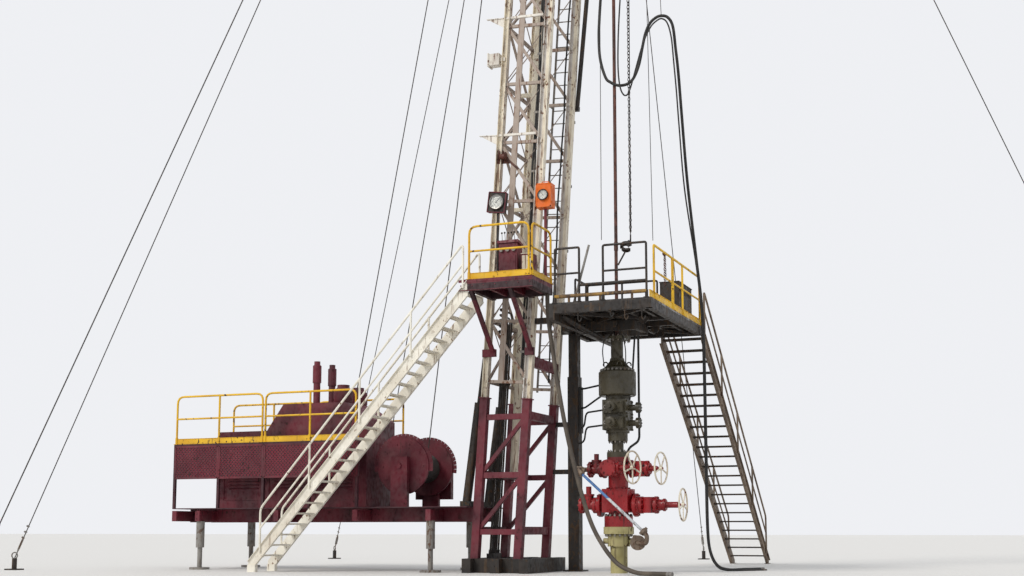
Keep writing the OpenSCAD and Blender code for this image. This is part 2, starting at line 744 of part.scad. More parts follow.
module control_console() {
  x = plat_x + 380;
  y = plat_y1 - 420;
  color(maroon) translate([x, y, plat_z]) {
    cube([420, 300, 880]);
    translate([-30, -30, 880]) rotate([-12, 0, 0]) translate([0, 0, 10]) cube([480, 300, 60]);
  }
  color(cream) translate([x + 520, y, plat_z]) cube([240, 280, 620]);
}

// Gauge housing with a round dial on its near face
module gauge(w, h, d, dial) {
  translate([-w / 2, 0, -h / 2]) cube([w, d, h]);
  rotate([90, 0, 0]) cylinder(h = 22, d = dial, $fn = 48);
}

gauge_y = plat_y1 - 200;
module weight_gauge() {
  color(black) translate([plat_x + 240, gauge_y, plat_z + 1850]) {
    rotate([0, 7, 0]) gauge(400, 440, 120, 300);
  }
  color(steel) translate([plat_x + 240, gauge_y + 60, plat_z]) cylinder(h = 1700, d = 50, $fn = 16);
}
module pressure_gauge() {
  color("#c8551c") translate([plat_x + plat_l - 130, gauge_y, plat_z + 1910])
    gauge(340, 520, 260, 190);
  color(steel) translate([plat_x + plat_l - 130, gauge_y + 130, plat_z]) cylinder(h = 1670, d = 60, $fn = 16);
}

// The operator's stair runs down along -x beside the carrier
module operator_stair_at() {
  translate([stair_l_x, stair_l_y, plat_z]) rotate([0, 0, 90]) children();
}

module operator_stair_stringers() color(cream) operator_stair_at() {
  for (x = [0, stair_l_w + stringer_t])
    translate([x, 0, 0]) stringer(steps_l, going_l, stringer_t);
  for (x = [0, stair_l_w + stringer_t])
    translate([x - 40, (steps_l - 1) * going_l, -plat_z])
      cube([stringer_t + 80, going_l, plat_z - steps_l * rise]);
}

module operator_stair_treads() color(cream) operator_stair_at() {
  for (i = [1 : steps_l - 1])
    translate([stringer_t, i * going_l - going_l + 20, -i * rise - 45])
      cube([stair_l_w, tread_w * 0.8, 35]);
}

module operator_stair_handrails() color(cream) operator_stair_at() {
  for (x = [-rail_d / 2, stair_l_w + 2 * stringer_t + rail_d / 2])
    translate([x, 0, 0]) stair_rail(steps_l, going_l, 900);
}

// Flange ring with its face up
module flange(d, h, bore) {
  difference() {
    cylinder(h = h, d = d, $fn = 64);
    translate([0, 0, -1]) cylinder(h = h + 2, d = bore, $fn = 48);
  }
}

casing_top = 965;
module casing_head() color("#7d7a3c") translate([well_x, 0, 0]) {
  difference() {
    union() {
      cylinder(h = casing_top, d = 360, $fn = 64);
      translate([0, 0, 556]) cylinder(h = 235, d = 470, $fn = 64);
      translate([0, 0, casing_top - 150]) cylinder(h = 150, d = 640, $fn = 64);
      for (s = [-1, 1])
        translate([0, 0, 670]) rotate([0, s * 90, 0]) cylinder(h = 330, d = 120, $fn = 32);
    }
    translate([0, 0, -1]) cylinder(h = casing_top + 2, d = casing_bore, $fn = 48);
  }
}

lower_outlet_z = 1420;
upper_outlet_z = 2180;
module wellhead_spool() color(red) translate([well_x, 0, 0]) {
  difference() {
    union() {
      translate([0, 0, casing_top]) cylinder(h = 220, d = 600, $fn = 64);
      translate([0, 0, casing_top + 220]) cylinder(h = 80, d = 420, $fn = 64);
      translate([-280, -280, 1265]) cube([560, 560, 495]);
      translate([0, 0, 1300]) cylinder(h = 425, d = 700, $fn = 8);
      translate([0, 0, 1760]) cylinder(h = spool_z - 1760, d = 420, $fn = 64);
      translate([0, 0, spool_z - 100]) cylinder(h = 100, d = 470, $fn = 64);
      for (s = [-1, 1])
        translate([0, 0, lower_outlet_z]) rotate([0, s * 90, 0]) cylinder(h = 480, d = 260, $fn = 32);
      for (a = [[0, 90, 0], [0, -90, 0], [90, 0, 0]])
        translate([0, 0, upper_outlet_z]) rotate(a) cylinder(h = 340, d = 230, $fn = 32);
    }
    translate([0, 0, casing_top - 1]) cylinder(h = spool_z, d = stack_bore, $fn = 48);
  }
}

// Gate valve: end flanges along x, a body and a bonnet that ends in a stem
module valve_body(l, d) {
  rotate([0, 90, 0]) cylinder(h = 60, d = d, $fn = 48);
  translate([l - 60, 0, 0]) rotate([0, 90, 0]) cylinder(h = 60, d = d, $fn = 48);
  rotate([0, 90, 0]) cylinder(h = l, d = d * 0.55, $fn = 32);
}
module bonnet(l, d) {
  cylinder(h = l * 0.6, d = d, $fn = 48);
  cylinder(h = l, d = d * 0.55, $fn = 32);
  translate([0, 0, l * 0.5]) cylinder(h = 40, d = d * 1.15, $fn = 48);
}

stem_d = 36;
// Each handwheel valve, from the well axis: middle of the body, turn and length of the stem
near_valve = [[0, -560, upper_outlet_z], -14, 540];
upper_valve = [[500, 0, upper_outlet_z], -8, 460];
lower_valve = [[670, 0, lower_outlet_z], 0, 730];
function wheel_at(v) = [well_x, 0, 0] + v[0] + v[2] * [cos(v[1]), sin(v[1]), 0];

// Body of a handwheel valve with its bonnet and its stem
module wheel_valve(v, ball, d) {
  translate(v[0]) {
    translate([0, 0, -ball / 2]) cylinder(h = ball, d = ball * 0.9, $fn = 32);
    rotate([0, 90, v[1]]) {
      bonnet(v[2] - 110, d);
      cylinder(h = v[2] + 50, d = stem_d, $fn = 32);
    }
  }
}

module gate_valves() color(red) translate([well_x, 0, 0]) {
  translate([480, 0, lower_outlet_z]) valve_body(380, 360);
  wheel_valve(lower_valve, 330, 230);
  translate([340, 0, upper_outlet_z]) valve_body(330, 340);
  wheel_valve(upper_valve, 320, 210);
  translate([0, -340, upper_outlet_z]) rotate([0, 0, -90]) valve_body(420, 340);
  wheel_valve(near_valve, 320, 210);
  // Two valves on the left outlets, their bonnets up
  translate([-340, 0, upper_outlet_z]) rotate([0, 0, 180]) valve_body(300, 340);
  translate([-480, 0, upper_outlet_z]) bonnet(330, 190);
  translate([-480, 0, lower_outlet_z]) rotate([0, 0, 180]) valve_body(360, 340);
  translate([-660, 0, lower_outlet_z]) bonnet(400, 210);
}

// Handwheel: rim, hub and five spokes, about its own axis
module handwheel(v) color(cream) {
  translate(wheel_at(v)) rotate([0, 0, v[1]]) rotate([0, 90, 0]) {
    rotate_extrude($fn = 48) translate([wheel_d / 2 - 18, 0]) circle(d = 36, $fn = 24);
    difference() {
      union() {
        translate([0, 0, -30]) cylinder(h = 60, d = 90, $fn = 32);
        for (a = [0 : 72 : 288])
          rotate(a) translate([30, -14, -9]) cube([wheel_d / 2 - 45, 28, 18]);
      }
      translate([0, 0, -40]) cylinder(h = 80, d = stem_d + 0.16, $fn = 32);
    }
  }
}
module handwheel_near() handwheel(near_valve);
module handwheel_upper() handwheel(upper_valve);
module handwheel_lower() handwheel(lower_valve);

module stack_spools() color(olive) translate([well_x, 0, 0]) {
  // Spool between the wellhead and the ram preventer
  difference() {
    union() {
      translate([0, 0, spool_z]) cylinder(h = 108, d = 470, $fn = 64);
      translate([0, 0, spool_z]) cylinder(h = 516, d = 240, $fn = 64);
      translate([0, 0, ram_z - 170]) cylinder(h = 170, d = 420, $fn = 64);
    }
    translate([0, 0, spool_z - 1]) cylinder(h = 520, d = stack_bore, $fn = 48);
  }
  // Nipple above the bag preventer
  translate([0, 0, bag_z + bag_h + cone_h]) difference() {
    union() {
      cylinder(h = nipple_h, d = 262, $fn = 64);
      translate([0, 0, nipple_h - 10]) cylinder(h = 60, d = 590, $fn = 64);
    }
    translate([0, 0, -1]) cylinder(h = nipple_h + 60, d = stack_bore, $fn = 48);
  }
}

module ram_preventer() color(olive) translate([well_x, 0, ram_z]) {
  difference() {
    union() {
      translate([-ram_w / 2, -ram_w / 2, 60]) cube([ram_w, ram_w, ram_h - 120]);
      cylinder(h = ram_h, d = 500, $fn = 64);
      for (z = ram_level) {
        // Doors with their cylinders, on the near and the far side
        for (s = [-1, 1]) {
          translate([-ram_w * 0.42, s > 0 ? ram_w / 2 : -ram_w / 2 - 100, z - 125])
            cube([ram_w * 0.84, 100, 250]);
          translate([0, 0, z]) rotate([s * 90, 0, 0]) cylinder(h = ram_w / 2 + 300, d = 180, $fn = 48);
          translate([0, 0, z]) rotate([s * 90, 0, 0]) cylinder(h = ram_w / 2 + 400, d = 90, $fn = 32);
        }
        // Side outlet with its blind flange
        translate([0, 0, z]) rotate([0, 90, 0]) cylinder(h = ram_w / 2 + 240, d = 130, $fn = 32);
        translate([ram_w / 2 + 160, 0, z]) rotate([0, 90, 0]) cylinder(h = 80, d = 230, $fn = 48);
      }
    }
    translate([0, 0, -1]) cylinder(h = ram_h + 2, d = stack_bore, $fn = 48);
  }
}

module bag_preventer() color(olive) translate([well_x, 0, bag_z]) {
  rotate_extrude($fn = 96) polygon([
    [stack_bore / 2, 0], [250, 0], [250, 26], [bag_d / 2 - 26, 26], [bag_d / 2, 50],
    [bag_d / 2, bag_h - 26], [bag_d / 2 - 26, bag_h], [300, bag_h], [300, bag_h + 70],
    [250, bag_h + 110], [160, bag_h + cone_h - 60], [150, bag_h + cone_h],
    [stack_bore / 2, bag_h + cone_h]]);
}

// Hydraulic lines from the floor leg to the preventers
module control_lines() color(black) {
  x0 = floor_leg_x + floor_leg / 2 + sleeve_t;
  y = floor_leg_y;
  reach = bag_d / 2 + 0.4;
  for (z = [bag_z + 100, bag_z + 330]) {
    a = atan2(y - 60, x0 + 30 - well_x);
    pipe([x0 + 30, y - 60, z], [well_x + reach * cos(a), reach * sin(a), z], 45, 8);
  }
  for (z = ram_level)
    pipe([x0 + 30, y - 30, ram_z + z - 40], [well_x - ram_w / 2 - 30, ram_w / 2 - 60, ram_z + z], 45, 8);
  for (z = ram_level)
    translate([well_x - ram_w / 2 - 50, ram_w / 2 - 100, ram_z + z - 40]) cube([50, 80, 80]);
  // Manifold on the leg
  translate([x0, y - 100, ram_z + ram_level[0] - 120]) cube([60, 140, bag_z + 420 - ram_z - ram_level[0]]);
}

// Black pipe up behind the far front leg, brought round its top to take the long hose
module standpipe() color(black) {
  u = mast_d / 2 - leg_front / 2;
  v = mast_w / 2 + 60;
  top = 6850;
  leaned() {
    translate([u, v, 1100]) cylinder(h = top - 1100, d = 100, $fn = 32);
    for (z = [2000, 3500, 5000, 6500])
      translate([u - leg_front / 2, mast_w / 2, z]) cube([leg_front, 60, 60]);
    translate([u - 50, v - 50, top - 50]) cube([210, 100, 100]);
  }
  c = hose_line(long_pts, hose_steps);
  end = [well_x, 0, 0] + c[0];
  t = unit(c[1] - c[0]);
  pipe(mast_pt(u + 110, v, top), end - 55 * t, 100, 16);
  pipe(end - 110 * t, end - seat * t, 124, 16);
}

// Ground anchors from the well axis, as shares of the farthest ones
anchor_share = [[-0.716, -0.593], [-1, -0.222], [-0.933, 0.741], [0.97, -0.444], [0.896, 0.741], [-0.112, 1]];
anchors = [for (a = anchor_share) [a.x * guy_reach, a.y * guy_side]];
anchor_h = 260;
guy_d = 24;
lug = 50;
module guy_lines() color(steel) {
  for (i = [0 : len(anchors) - 1]) {
    a = anchors[i];
    s = a.y < 0 ? -1 : 1;
    u = a.x < 0 ? upper_rear - 160 + 60 * i : crown_reach + 60 * i;
    w = upper_top + crown_h / 2;
    p = mast_pt(u, s * (upper_v + 60 + lug / 2), w);
    q = [well_x + a.x, a.y, anchor_h];
    slope = norm([q.x - p.x, q.y - p.y]) / norm(q - p);
    pipe(p, q + [0, 0, guy_d / 2 * slope + seat], guy_d, 8);
    leaned() translate([u - lug / 2, s > 0 ? upper_v + 60 : -upper_v - 60 - lug, w - lug / 2])
      cube([lug, lug, lug]);
  }
  // Load guys to the carrier
  for (s = [-1, 1]) {
    w = upper_top + crown_h * 0.7;
    pipe(mast_pt(upper_rear - 200 - lug / 2, s * upper_v, w),
      [carrier_x + 4500, s * (carrier_y - 200), walk_z + guy_d * 0.55], guy_d, 8);
    leaned() translate([upper_rear - 200 - lug, s * upper_v - lug / 2, w - lug / 2])
      cube([lug, lug, lug]);
  }
}

module guy_anchors() color(black) {
  for (a = anchors)
    translate([well_x + a.x, a.y, 0]) {
      cylinder(h = anchor_h, d = 110, $fn = 24);
      translate([-150, -150, 0]) cube([300, 300, 30]);
    }
}

module carrier_frame() color(maroon) {
  for (s = [-1, 1])
    beam_x(carrier_x, carrier_end, s * 430, deck_z - 20 - frame_beam, 120, frame_beam);
  for (x = [carrier_x + 60, jack_x[0], carrier_x + 2800, carrier_x + 4800, jack_x[1]])
    beam_y(x, -carrier_y, carrier_y, jack_top, 120, deck_z - 60 - jack_top);
}

module carrier_jacks() color(steel) {
  for (x = jack_x)
    for (s = [-1, 1])
      translate([x, s * (carrier_y - 140), 0]) {
        cylinder(h = 50, d = 460, $fn = 48);
        cylinder(h = jack_top, d = 110, $fn = 32);
        translate([0, 0, 500]) cylinder(h = jack_top - 500, d = 190, $fn = 32);
      }
}

module carrier_deck() color(maroon) {
  translate([carrier_x, -carrier_y, deck_z - 20])
    cube([carrier_end - carrier_x, carrier_w, 20]);
  // Raised walkway on both sides, on posts with guard panels below
  for (s = [-1, 1]) {
    y0 = s > 0 ? carrier_y - walk_w : -carrier_y;
    translate([carrier_x, y0, walk_z - 40]) cube([walk_l, walk_w, 40]);
    translate([carrier_x, s > 0 ? carrier_y - 30 : -carrier_y, walk_z - 800]) cube([walk_l, 30, 760]);
    for (i = [0 : 4])
      translate([carrier_x + i * (walk_l - 100) / 4, s > 0 ? carrier_y - 60 : -carrier_y, deck_z])
        cube([60, 60, walk_z - 40 - deck_z]);
  }
}

module walkway_rail() color(yellow) {
  for (s = [-1, 1]) {
    y = s * (carrier_y - rail_in);
    rail_run([carrier_x + rail_in, y, walk_z], [carrier_x + walk_l - rail_in, y, walk_z], 4, rail_h);
    translate([carrier_x + rail_in, y - 6, walk_z]) cube([walk_l - 2 * rail_in, 12, toe_h]);
  }
}

drum_d = 620;
drum_x = carrier_x + 5700;
drum_z = deck_z + 900;
module drawworks() {
  color(steel) translate([drum_x, 0, drum_z]) rotate([90, 0, 0]) {
    translate([0, 0, -600]) cylinder(h = 1200, d = drum_d, $fn = 48);
    for (z = [-660, 600])
      translate([0, 0, z]) cylinder(h = 60, d = 1250, $fn = 64);
    translate([0, 0, -900]) cylinder(h = 1800, d = 130, $fn = 32);
  }
  color(maroon) for (s = [-1, 1])
    translate([drum_x - 200, s * 800 - 60, deck_z]) difference() {
      cube([400, 120, 1100]);
      translate([200, -10, 900]) rotate([-90, 0, 0]) cylinder(h = 140, d = 130, $fn = 32);
    }
}

module engine_hood() color(maroon) {
  y = carrier_y - walk_w;
  x0 = carrier_x + 900;
  x1 = carrier_x + walk_l - 100;
  l = x1 - x0;
  hood_h = 900;
  translate([0, y, 0]) rotate([90, 0, 0]) linear_extrude(2 * y)
    polygon([[x0, deck_z], [x1, deck_z], [x1, walk_z + hood_h * 0.56], [x1 - l * 0.15, walk_z + hood_h],
      [x0 + l * 0.44, walk_z + hood_h], [x0 + l * 0.33, walk_z + hood_h / 3], [x0, walk_z + hood_h / 3]]);
}

// Hose routes, as points from the well axis
hose_d = 64;
thin_d = 34;
flow_d = 90;
hose_steps = 2;
long_pts = [
  [-780, 820, 13900], [-660, 760, 13930], [-540, 660, 13760], [-460, 530, 13400],
  [-420, 380, 12900], [-400, 220, 12350], [-380, 90, 11800], [-320, -10, 11240],
  [-180, -70, 10780], [-50, -95, 10640], [90, -100, 10560], [215, -100, 10540],
  [350, -95, 10570], [470, -80, 10690], [580, -50, 10980], [660, -20, 11400],
  [720, 0, 11680], [820, 0, 11890], [950, 0, 12000], [1080, 0, 12030], [1220, 20, 11980],
  [1320, 60, 11780], [1350, 160, 11300], [1370, 280, 10800], [1370, 520, 9900],
  [1375, 900, 8500], [1385, 1550, 6900], [1410, 1850, 6000], [1425, 1940, 5200],
  [1430, 1960, 4000], [1430, 1970, 2400], [1430, 1980, 1000], [1470, 2010, 450],
  [1600, 2110, 130], [1800, 2280, 34], [2100, 2620, 34], [2350, 3050, 34]];
thin_pts = [
  [290, -60, 13600], [240, -100, 13200], [190, -150, 12400], [155, -185, 11600],
  [150, -200, 10900], [190, -200, 10480], [270, -200, 10290], [360, -200, 10290],
  [440, -200, 10470], [560, -180, 10900], [700, -140, 11400], [860, -100, 11760],
  [1000, -80, 11900], [1120, -75, 11930], [1230, -50, 11820], [1300, 0, 11500],
  [1320, 90, 11000], [1330, 240, 10400], [1320, 470, 9650], [1325, 850, 8300],
  [1390, 1450, 6850], [1405, 1760, 6000], [1420, 1850, 5200], [1425, 1875, 4000],
  [1425, 1885, 2400], [1430, 1890, 1000], [1480, 1920, 420], [1620, 1990, 110],
  [1820, 2120, 19], [2150, 2420, 19], [2450, 2820, 19]];

flow_pts = [
  [-1140, -1200, 5819], [-1140, -1200, 5650], [-1120, -1200, 5300], [-1040, -1200, 4700],
  [-930, -1200, 4000], [-790, -1200, 3200], [-600, -1200, 2350], [-400, -1200, 1600],
  [-190, -1200, 1000], [60, -1210, 560], [330, -1240, 250], [600, -1300, 110],
  [850, -1400, 52], [1150, -1560, 48], [1500, -1700, 47]];

// Smooth curve through the points, n steps a span
function hose_at(p, i, t) =
  let (a = p[max(i - 1, 0)], b = p[i], c = p[i + 1], d = p[min(i + 2, len(p) - 1)])
  0.5 * ((2 * b) + (c - a) * t + (2 * a - 5 * b + 4 * c - d) * t * t + (3 * b - a - 3 * c + d) * t * t * t);
function hose_line(p, n) = concat(
  [for (i = [0 : len(p) - 2]) for (k = [0 : n - 1]) hose_at(p, i, k / n)], [p[len(p) - 1]]);
function unit(v) = v / norm(v);
function side_of(t) = unit(cross(t, abs(t.z) > 0.9 ? [0, 1, 0] : [0, 0, 1]));
// Ring directions are carried from ring to ring so that the tube does not twist
function carried(r, t) = unit(r - (r * t) * t);
function frames(c, i, r) = i == len(c) ? [] :
  let (t = unit(c[min(i + 1, len(c) - 1)] - c[max(i - 1, 0)]), q = carried(r, t))
  concat([[t, q]], frames(c, i + 1, q));

module hose(p, n, d, sides) {
  c = hose_line(p, n);
  f = frames(c, 0, side_of(c[1] - c[0]));
  m = len(c);
  pts = [for (i = [0 : m - 1]) for (k = [0 : sides - 1])
    let (a = 360 * k / sides, t = f[i][0], q = f[i][1])
    c[i] + d / 2 * (cos(a) * q + sin(a) * cross(t, q))];
  walls = [for (i = [0 : m - 2]) for (k = [0 : sides - 1])
    let (j = (k + 1) % sides)
    [(i + 1) * sides + k, (i + 1) * sides + j, i * sides + j, i * sides + k]];
  ends = [[for (k = [0 : sides - 1]) k], [for (k = [sides - 1 : -1 : 0]) (m - 1) * sides + k]];
  polyhedron(pts, concat(walls, ends), convexity = 10);
}

module long_hose() color(black) translate([well_x, 0, 0]) hose(long_pts, hose_steps, hose_d, 8);
module thin_hose() color(black) translate([well_x, 0, 0]) hose(thin_pts, hose_steps, thin_d, 8);

module flow_hose() color("#7d7264") translate([well_x, 0, 0]) hose(flow_pts, hose_steps, flow_d, 8);

// Coupling on the ground end of a hose
module end_coupling(p, d) {
  c = hose_line(p, hose_steps);
  n = len(c);
  t = unit(c[n - 1] - c[n - 2]);
  translate([well_x, 0, 0]) pipe(c[n - 1], c[n - 1] + 150 * t, d, 16);
}
module hose_couplings() color(steel) {
  end_coupling(long_pts, hose_d);
  end_coupling(thin_pts, thin_d);
  end_coupling(flow_pts, flow_d);
}

base_beam();
base_stand();
stand_cross_beams();
raising_rams();
lower_mast_near_side();
lower_mast_far_side();
lower_mast_back();
upper_mast_near_side();
upper_mast_far_side();
upper_mast_back();
telescope_ram();
mast_ladder();
crown_frame();
crown_sheaves();
travelling_block();
tubing_elevator();
tubing_string();
hoist_lines();
tong_line();
floor_frame();
floor_deck();
floor_rails();
floor_rail_front();
floor_leg();
tool_box();
pipe_tongs();
floor_stair_stringers();
floor_stair_treads();
floor_stair_handrails();
operator_platform();
operator_rail();
control_console();
weight_gauge();
pressure_gauge();
operator_stair_stringers();
operator_stair_treads();
operator_stair_handrails();
casing_head();
wellhead_spool();
gate_valves();
handwheel_near();
handwheel_upper();
handwheel_lower();
stack_spools();
ram_preventer();
bag_preventer();
control_lines();
standpipe();
guy_lines();
guy_anchors();
carrier_frame();
carrier_jacks();
carrier_deck();
walkway_rail();
drawworks();
engine_hood();
long_hose();
thin_hose();
flow_hose();
hose_couplings();
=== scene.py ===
# %% [markdown]
# A service rig over its well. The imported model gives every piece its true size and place; this file
# gives the pieces their finish, and adds the small things that a rig has: bent pipe rails, grating,
# bolts, gauges, hoses and the wear of years outdoors.
# %% Load the frame
import bpy
import json
import math
import numpy as np
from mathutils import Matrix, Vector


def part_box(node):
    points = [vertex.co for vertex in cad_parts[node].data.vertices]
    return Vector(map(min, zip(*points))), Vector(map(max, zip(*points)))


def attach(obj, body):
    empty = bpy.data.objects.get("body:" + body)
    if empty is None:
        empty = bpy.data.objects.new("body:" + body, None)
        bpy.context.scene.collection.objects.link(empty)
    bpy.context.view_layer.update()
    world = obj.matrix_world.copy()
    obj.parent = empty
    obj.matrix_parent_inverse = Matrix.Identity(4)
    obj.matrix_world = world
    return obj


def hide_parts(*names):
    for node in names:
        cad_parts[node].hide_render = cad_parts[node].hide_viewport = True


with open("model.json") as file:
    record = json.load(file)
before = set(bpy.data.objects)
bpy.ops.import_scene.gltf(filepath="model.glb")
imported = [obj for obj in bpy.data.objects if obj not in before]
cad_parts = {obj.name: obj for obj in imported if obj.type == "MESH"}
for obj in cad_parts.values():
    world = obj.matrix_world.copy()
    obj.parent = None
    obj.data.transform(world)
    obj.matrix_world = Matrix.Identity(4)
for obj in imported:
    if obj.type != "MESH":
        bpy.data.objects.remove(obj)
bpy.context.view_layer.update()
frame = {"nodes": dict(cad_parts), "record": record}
nodes = frame["nodes"]

# %% [markdown]
# A place in the rig is read from the frame wherever a node shows it, so that a changed model moves the
# dressing with it. The well's axis is the middle of the bag preventer.
# %% Places
def corners(node):
    """Lowest and highest corner of a node, as two arrays."""
    lo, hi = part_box(node)
    return np.array(lo), np.array(hi)

def middle(node):
    """Middle of a node's box."""
    lo, hi = corners(node)
    return (lo + hi) / 2

well = middle("bag_preventer") * [1, 1, 0]
LEAN = math.radians(3.6)
MAST_FOOT = np.array([0.14, 0.0, 3.7])
MAST_D, MAST_W = 1.13, 1.80
LEG_FRONT, LEG_REAR, LEG_B = 0.17, 0.13, 0.15
FIRST_ROW, BAY = 0.349, 1.315
FLOOR_Z = corners("floor_deck")[1][2]
PLAT_Z = corners("operator_platform")[1][2]
RAIL_H = corners("floor_rail_front")[1][2] - FLOOR_Z
TOE_H = 0.13

def mast(u, v, w):
    """Point of the leaning mast: u along its depth, v across, w along its legs."""
    return MAST_FOOT + np.array([u * math.cos(LEAN) + w * math.sin(LEAN), v,
                                 -u * math.sin(LEAN) + w * math.cos(LEAN)])

print("well at", well, "floor at", FLOOR_Z, "platform at", PLAT_Z)

# %% [markdown]
# The photograph was taken from low down, on the near side and a little ahead of the well. Most of the
# upward look is a tilt of the camera; a small shift keeps the columns nearly upright.
# %% Camera
EYE = (10.76, -26.8, 0.9)
TURN = math.radians(22.0)
TILT = math.radians(7.0)
LENS_PX = 1318.0
HORIZON_PX = 530.0
FRAME_W, FRAME_H = 1024.0, 576.0

def in_scene(name, data):
    """A new object of the data, linked to the scene."""
    obj = bpy.data.objects.new(name, data)
    bpy.context.scene.collection.objects.link(obj)
    return obj

camera_data = bpy.data.cameras.new("camera")
camera_data.sensor_width = 36.0
camera_data.lens = LENS_PX / FRAME_W * 36.0
camera_data.shift_y = (HORIZON_PX - FRAME_H / 2 - LENS_PX * math.tan(TILT)) / FRAME_W
camera_data.clip_end = 500.0
camera = in_scene("camera", camera_data)
camera.location = EYE
camera.rotation_euler = (math.pi / 2 + TILT, 0.0, TURN)
bpy.context.scene.camera = camera
print("lens", round(camera_data.lens, 2), "shift", round(camera_data.shift_y, 4))

# %% [markdown]
# Meshes are worked out as whole arrays. A part is a pair: an array of points and a list of faces. Parts
# are joined into one piece at the end, so that hundreds of bolts cost one object.
# %% Mesh helpers
def join(parts):
    """Puts parts into one: the faces of each are shifted by the number of points before it."""
    points, faces, start = [], [], 0
    for p, f in parts:
        points.append(np.asarray(p, float))
        faces += [[i + start for i in face] for face in f]
        start += len(p)
    return np.vstack(points), faces

def around(count):
    """Angles at even steps, once round."""
    return np.linspace(0, 2 * np.pi, count, endpoint=False)

def grid_faces(rows, columns, closed_rows=False):
    """Four-sided faces of a grid of points, row by row, each row a closed ring."""
    r = np.arange(rows if closed_rows else rows - 1)
    R, C = np.meshgrid(r, np.arange(columns), indexing="ij")
    R2, C2 = (R + 1) % rows, (C + 1) % columns
    quads = np.stack([R * columns + C, R * columns + C2, R2 * columns + C2, R2 * columns + C], -1)
    return quads.reshape(-1, 4).tolist()

def carried_frames(path):
    """Direction of travel and two side directions at each point, carried along without twist."""
    ahead = np.gradient(path, axis=0)
    ahead /= np.linalg.norm(ahead, axis=1)[:, None]
    side = np.cross(ahead[0], [0.0, 0.0, 1.0])
    if np.linalg.norm(side) < 0.1:
        side = np.cross(ahead[0], [0.0, 1.0, 0.0])
    sides = []
    for t in ahead:
        side = side - t * np.dot(side, t)
        side = side / np.linalg.norm(side)
        sides.append(side)
    sides = np.array(sides)
    return ahead, sides, np.cross(ahead, sides)

def sweep(path, radius, sides=12, caps=True):
    """Round tube: at each point of the path a circle, p + r (cos a s + sin a n)."""
    path = np.asarray(path, float)
    ahead, s, n = carried_frames(path)
    a = around(sides)
    r = np.broadcast_to(np.asarray(radius, float), (len(path),))[:, None, None]
    ring = s[:, None] * np.cos(a)[None, :, None] + n[:, None] * np.sin(a)[None, :, None]
    points = (path[:, None] + r * ring).reshape(-1, 3)
    faces = grid_faces(len(path), sides)
    if caps:
        faces += [list(range(sides))[::-1], list(range((len(path) - 1) * sides, len(path) * sides))]
    return points, faces

def straight(p, q, radius, sides=12):
    """Round bar from p to q."""
    return sweep([p, q], radius, sides)

def rounded(points, radius, steps=5):
    """A path whose corners are quarter bends: points on the curve (1-t)^2 a + 2t(1-t) b + t^2 c."""
    points = [np.asarray(p, float) for p in points]
    out = [points[0]]
    for a, b, c in zip(points, points[1:], points[2:]):
        u, v = (a - b) / np.linalg.norm(a - b), (c - b) / np.linalg.norm(c - b)
        t = np.linspace(0, 1, steps)[:, None]
        out += list((1 - t) ** 2 * (b + u * radius) + 2 * t * (1 - t) * b + t ** 2 * (b + v * radius))
    out.append(points[-1])
    return np.array(out)

def block(lo, hi):
    """Box between two corners."""
    x, y, z = zip(lo, hi)
    p = [[x[i], y[j], z[k]] for k in (0, 1) for j in (0, 1) for i in (0, 1)]
    f = [[0, 2, 3, 1], [4, 5, 7, 6], [0, 1, 5, 4], [2, 6, 7, 3], [0, 4, 6, 2], [1, 3, 7, 5]]
    return np.array(p, float), f

def bar(p, q, width, thick, up=(0.0, 0.0, 1.0)):
    """Flat bar from p to q: a rectangle width across and thick through, carried from end to end."""
    p, q = np.asarray(p, float), np.asarray(q, float)
    t = (q - p) / np.linalg.norm(q - p)
    s = np.cross(t, up)
    if np.linalg.norm(s) < 1e-6:
        s = np.cross(t, [0.0, 1.0, 0.0])
    s /= np.linalg.norm(s)
    n = np.cross(s, t)
    corner = [s * i * width / 2 + n * j * thick / 2 for i, j in ((-1, -1), (1, -1), (1, 1), (-1, 1))]
    points = np.array([e + c for e in (p, q) for c in corner])
    return points, [[0, 1, 2, 3], [7, 6, 5, 4], [0, 4, 5, 1], [1, 5, 6, 2], [2, 6, 7, 3], [3, 7, 4, 0]]

def turned(profile, sides=64, closed=False):
    """Surface of revolution about z: each (radius, height) of the profile is a ring."""
    profile = np.asarray(profile, float)
    a = around(sides)
    ring = np.stack([np.cos(a), np.sin(a), np.zeros(sides)], -1)
    points = profile[:, 0, None, None] * ring[None] + profile[:, 1, None, None] * np.array([0, 0, 1.0])
    faces = grid_faces(len(profile), sides, closed_rows=closed)
    if not closed:
        faces += [list(range(sides))[::-1],
                  list(range((len(profile) - 1) * sides, len(profile) * sides))]
    return points.reshape(-1, 3), faces

def placed(part, origin=(0, 0, 0), z=(0, 0, 1), x=None):
    """The part with its z axis along z and its origin moved."""
    z = np.asarray(z, float) / np.linalg.norm(z)
    x = np.asarray(x if x is not None else ((1, 0, 0) if abs(z[0]) < 0.9 else (0, 1, 0)), float)
    x = x - z * np.dot(x, z)
    x /= np.linalg.norm(x)
    turn = np.array([x, np.cross(z, x), z])
    return part[0] @ turn + np.asarray(origin, float), part[1]

def hex_nut(radius, height):
    """Six-sided nut or bolt head, standing on z = 0."""
    return turned([(radius, 0), (radius, height)], 6)

X, Y, UP = np.eye(3)

def border(lo, hi, base, width, thick, right=X, up=UP):
    """Four flat bars round the rectangle from lo to hi in the directions right and up."""
    ring = [(lo[0], lo[1]), (hi[0], lo[1]), (hi[0], hi[1]), (lo[0], hi[1])]
    ring = [np.asarray(base, float) + right * a + up * b for a, b in ring]
    return [bar(p, q, width, thick, up=Y) for p, q in zip(ring, ring[1:] + ring[:1])]

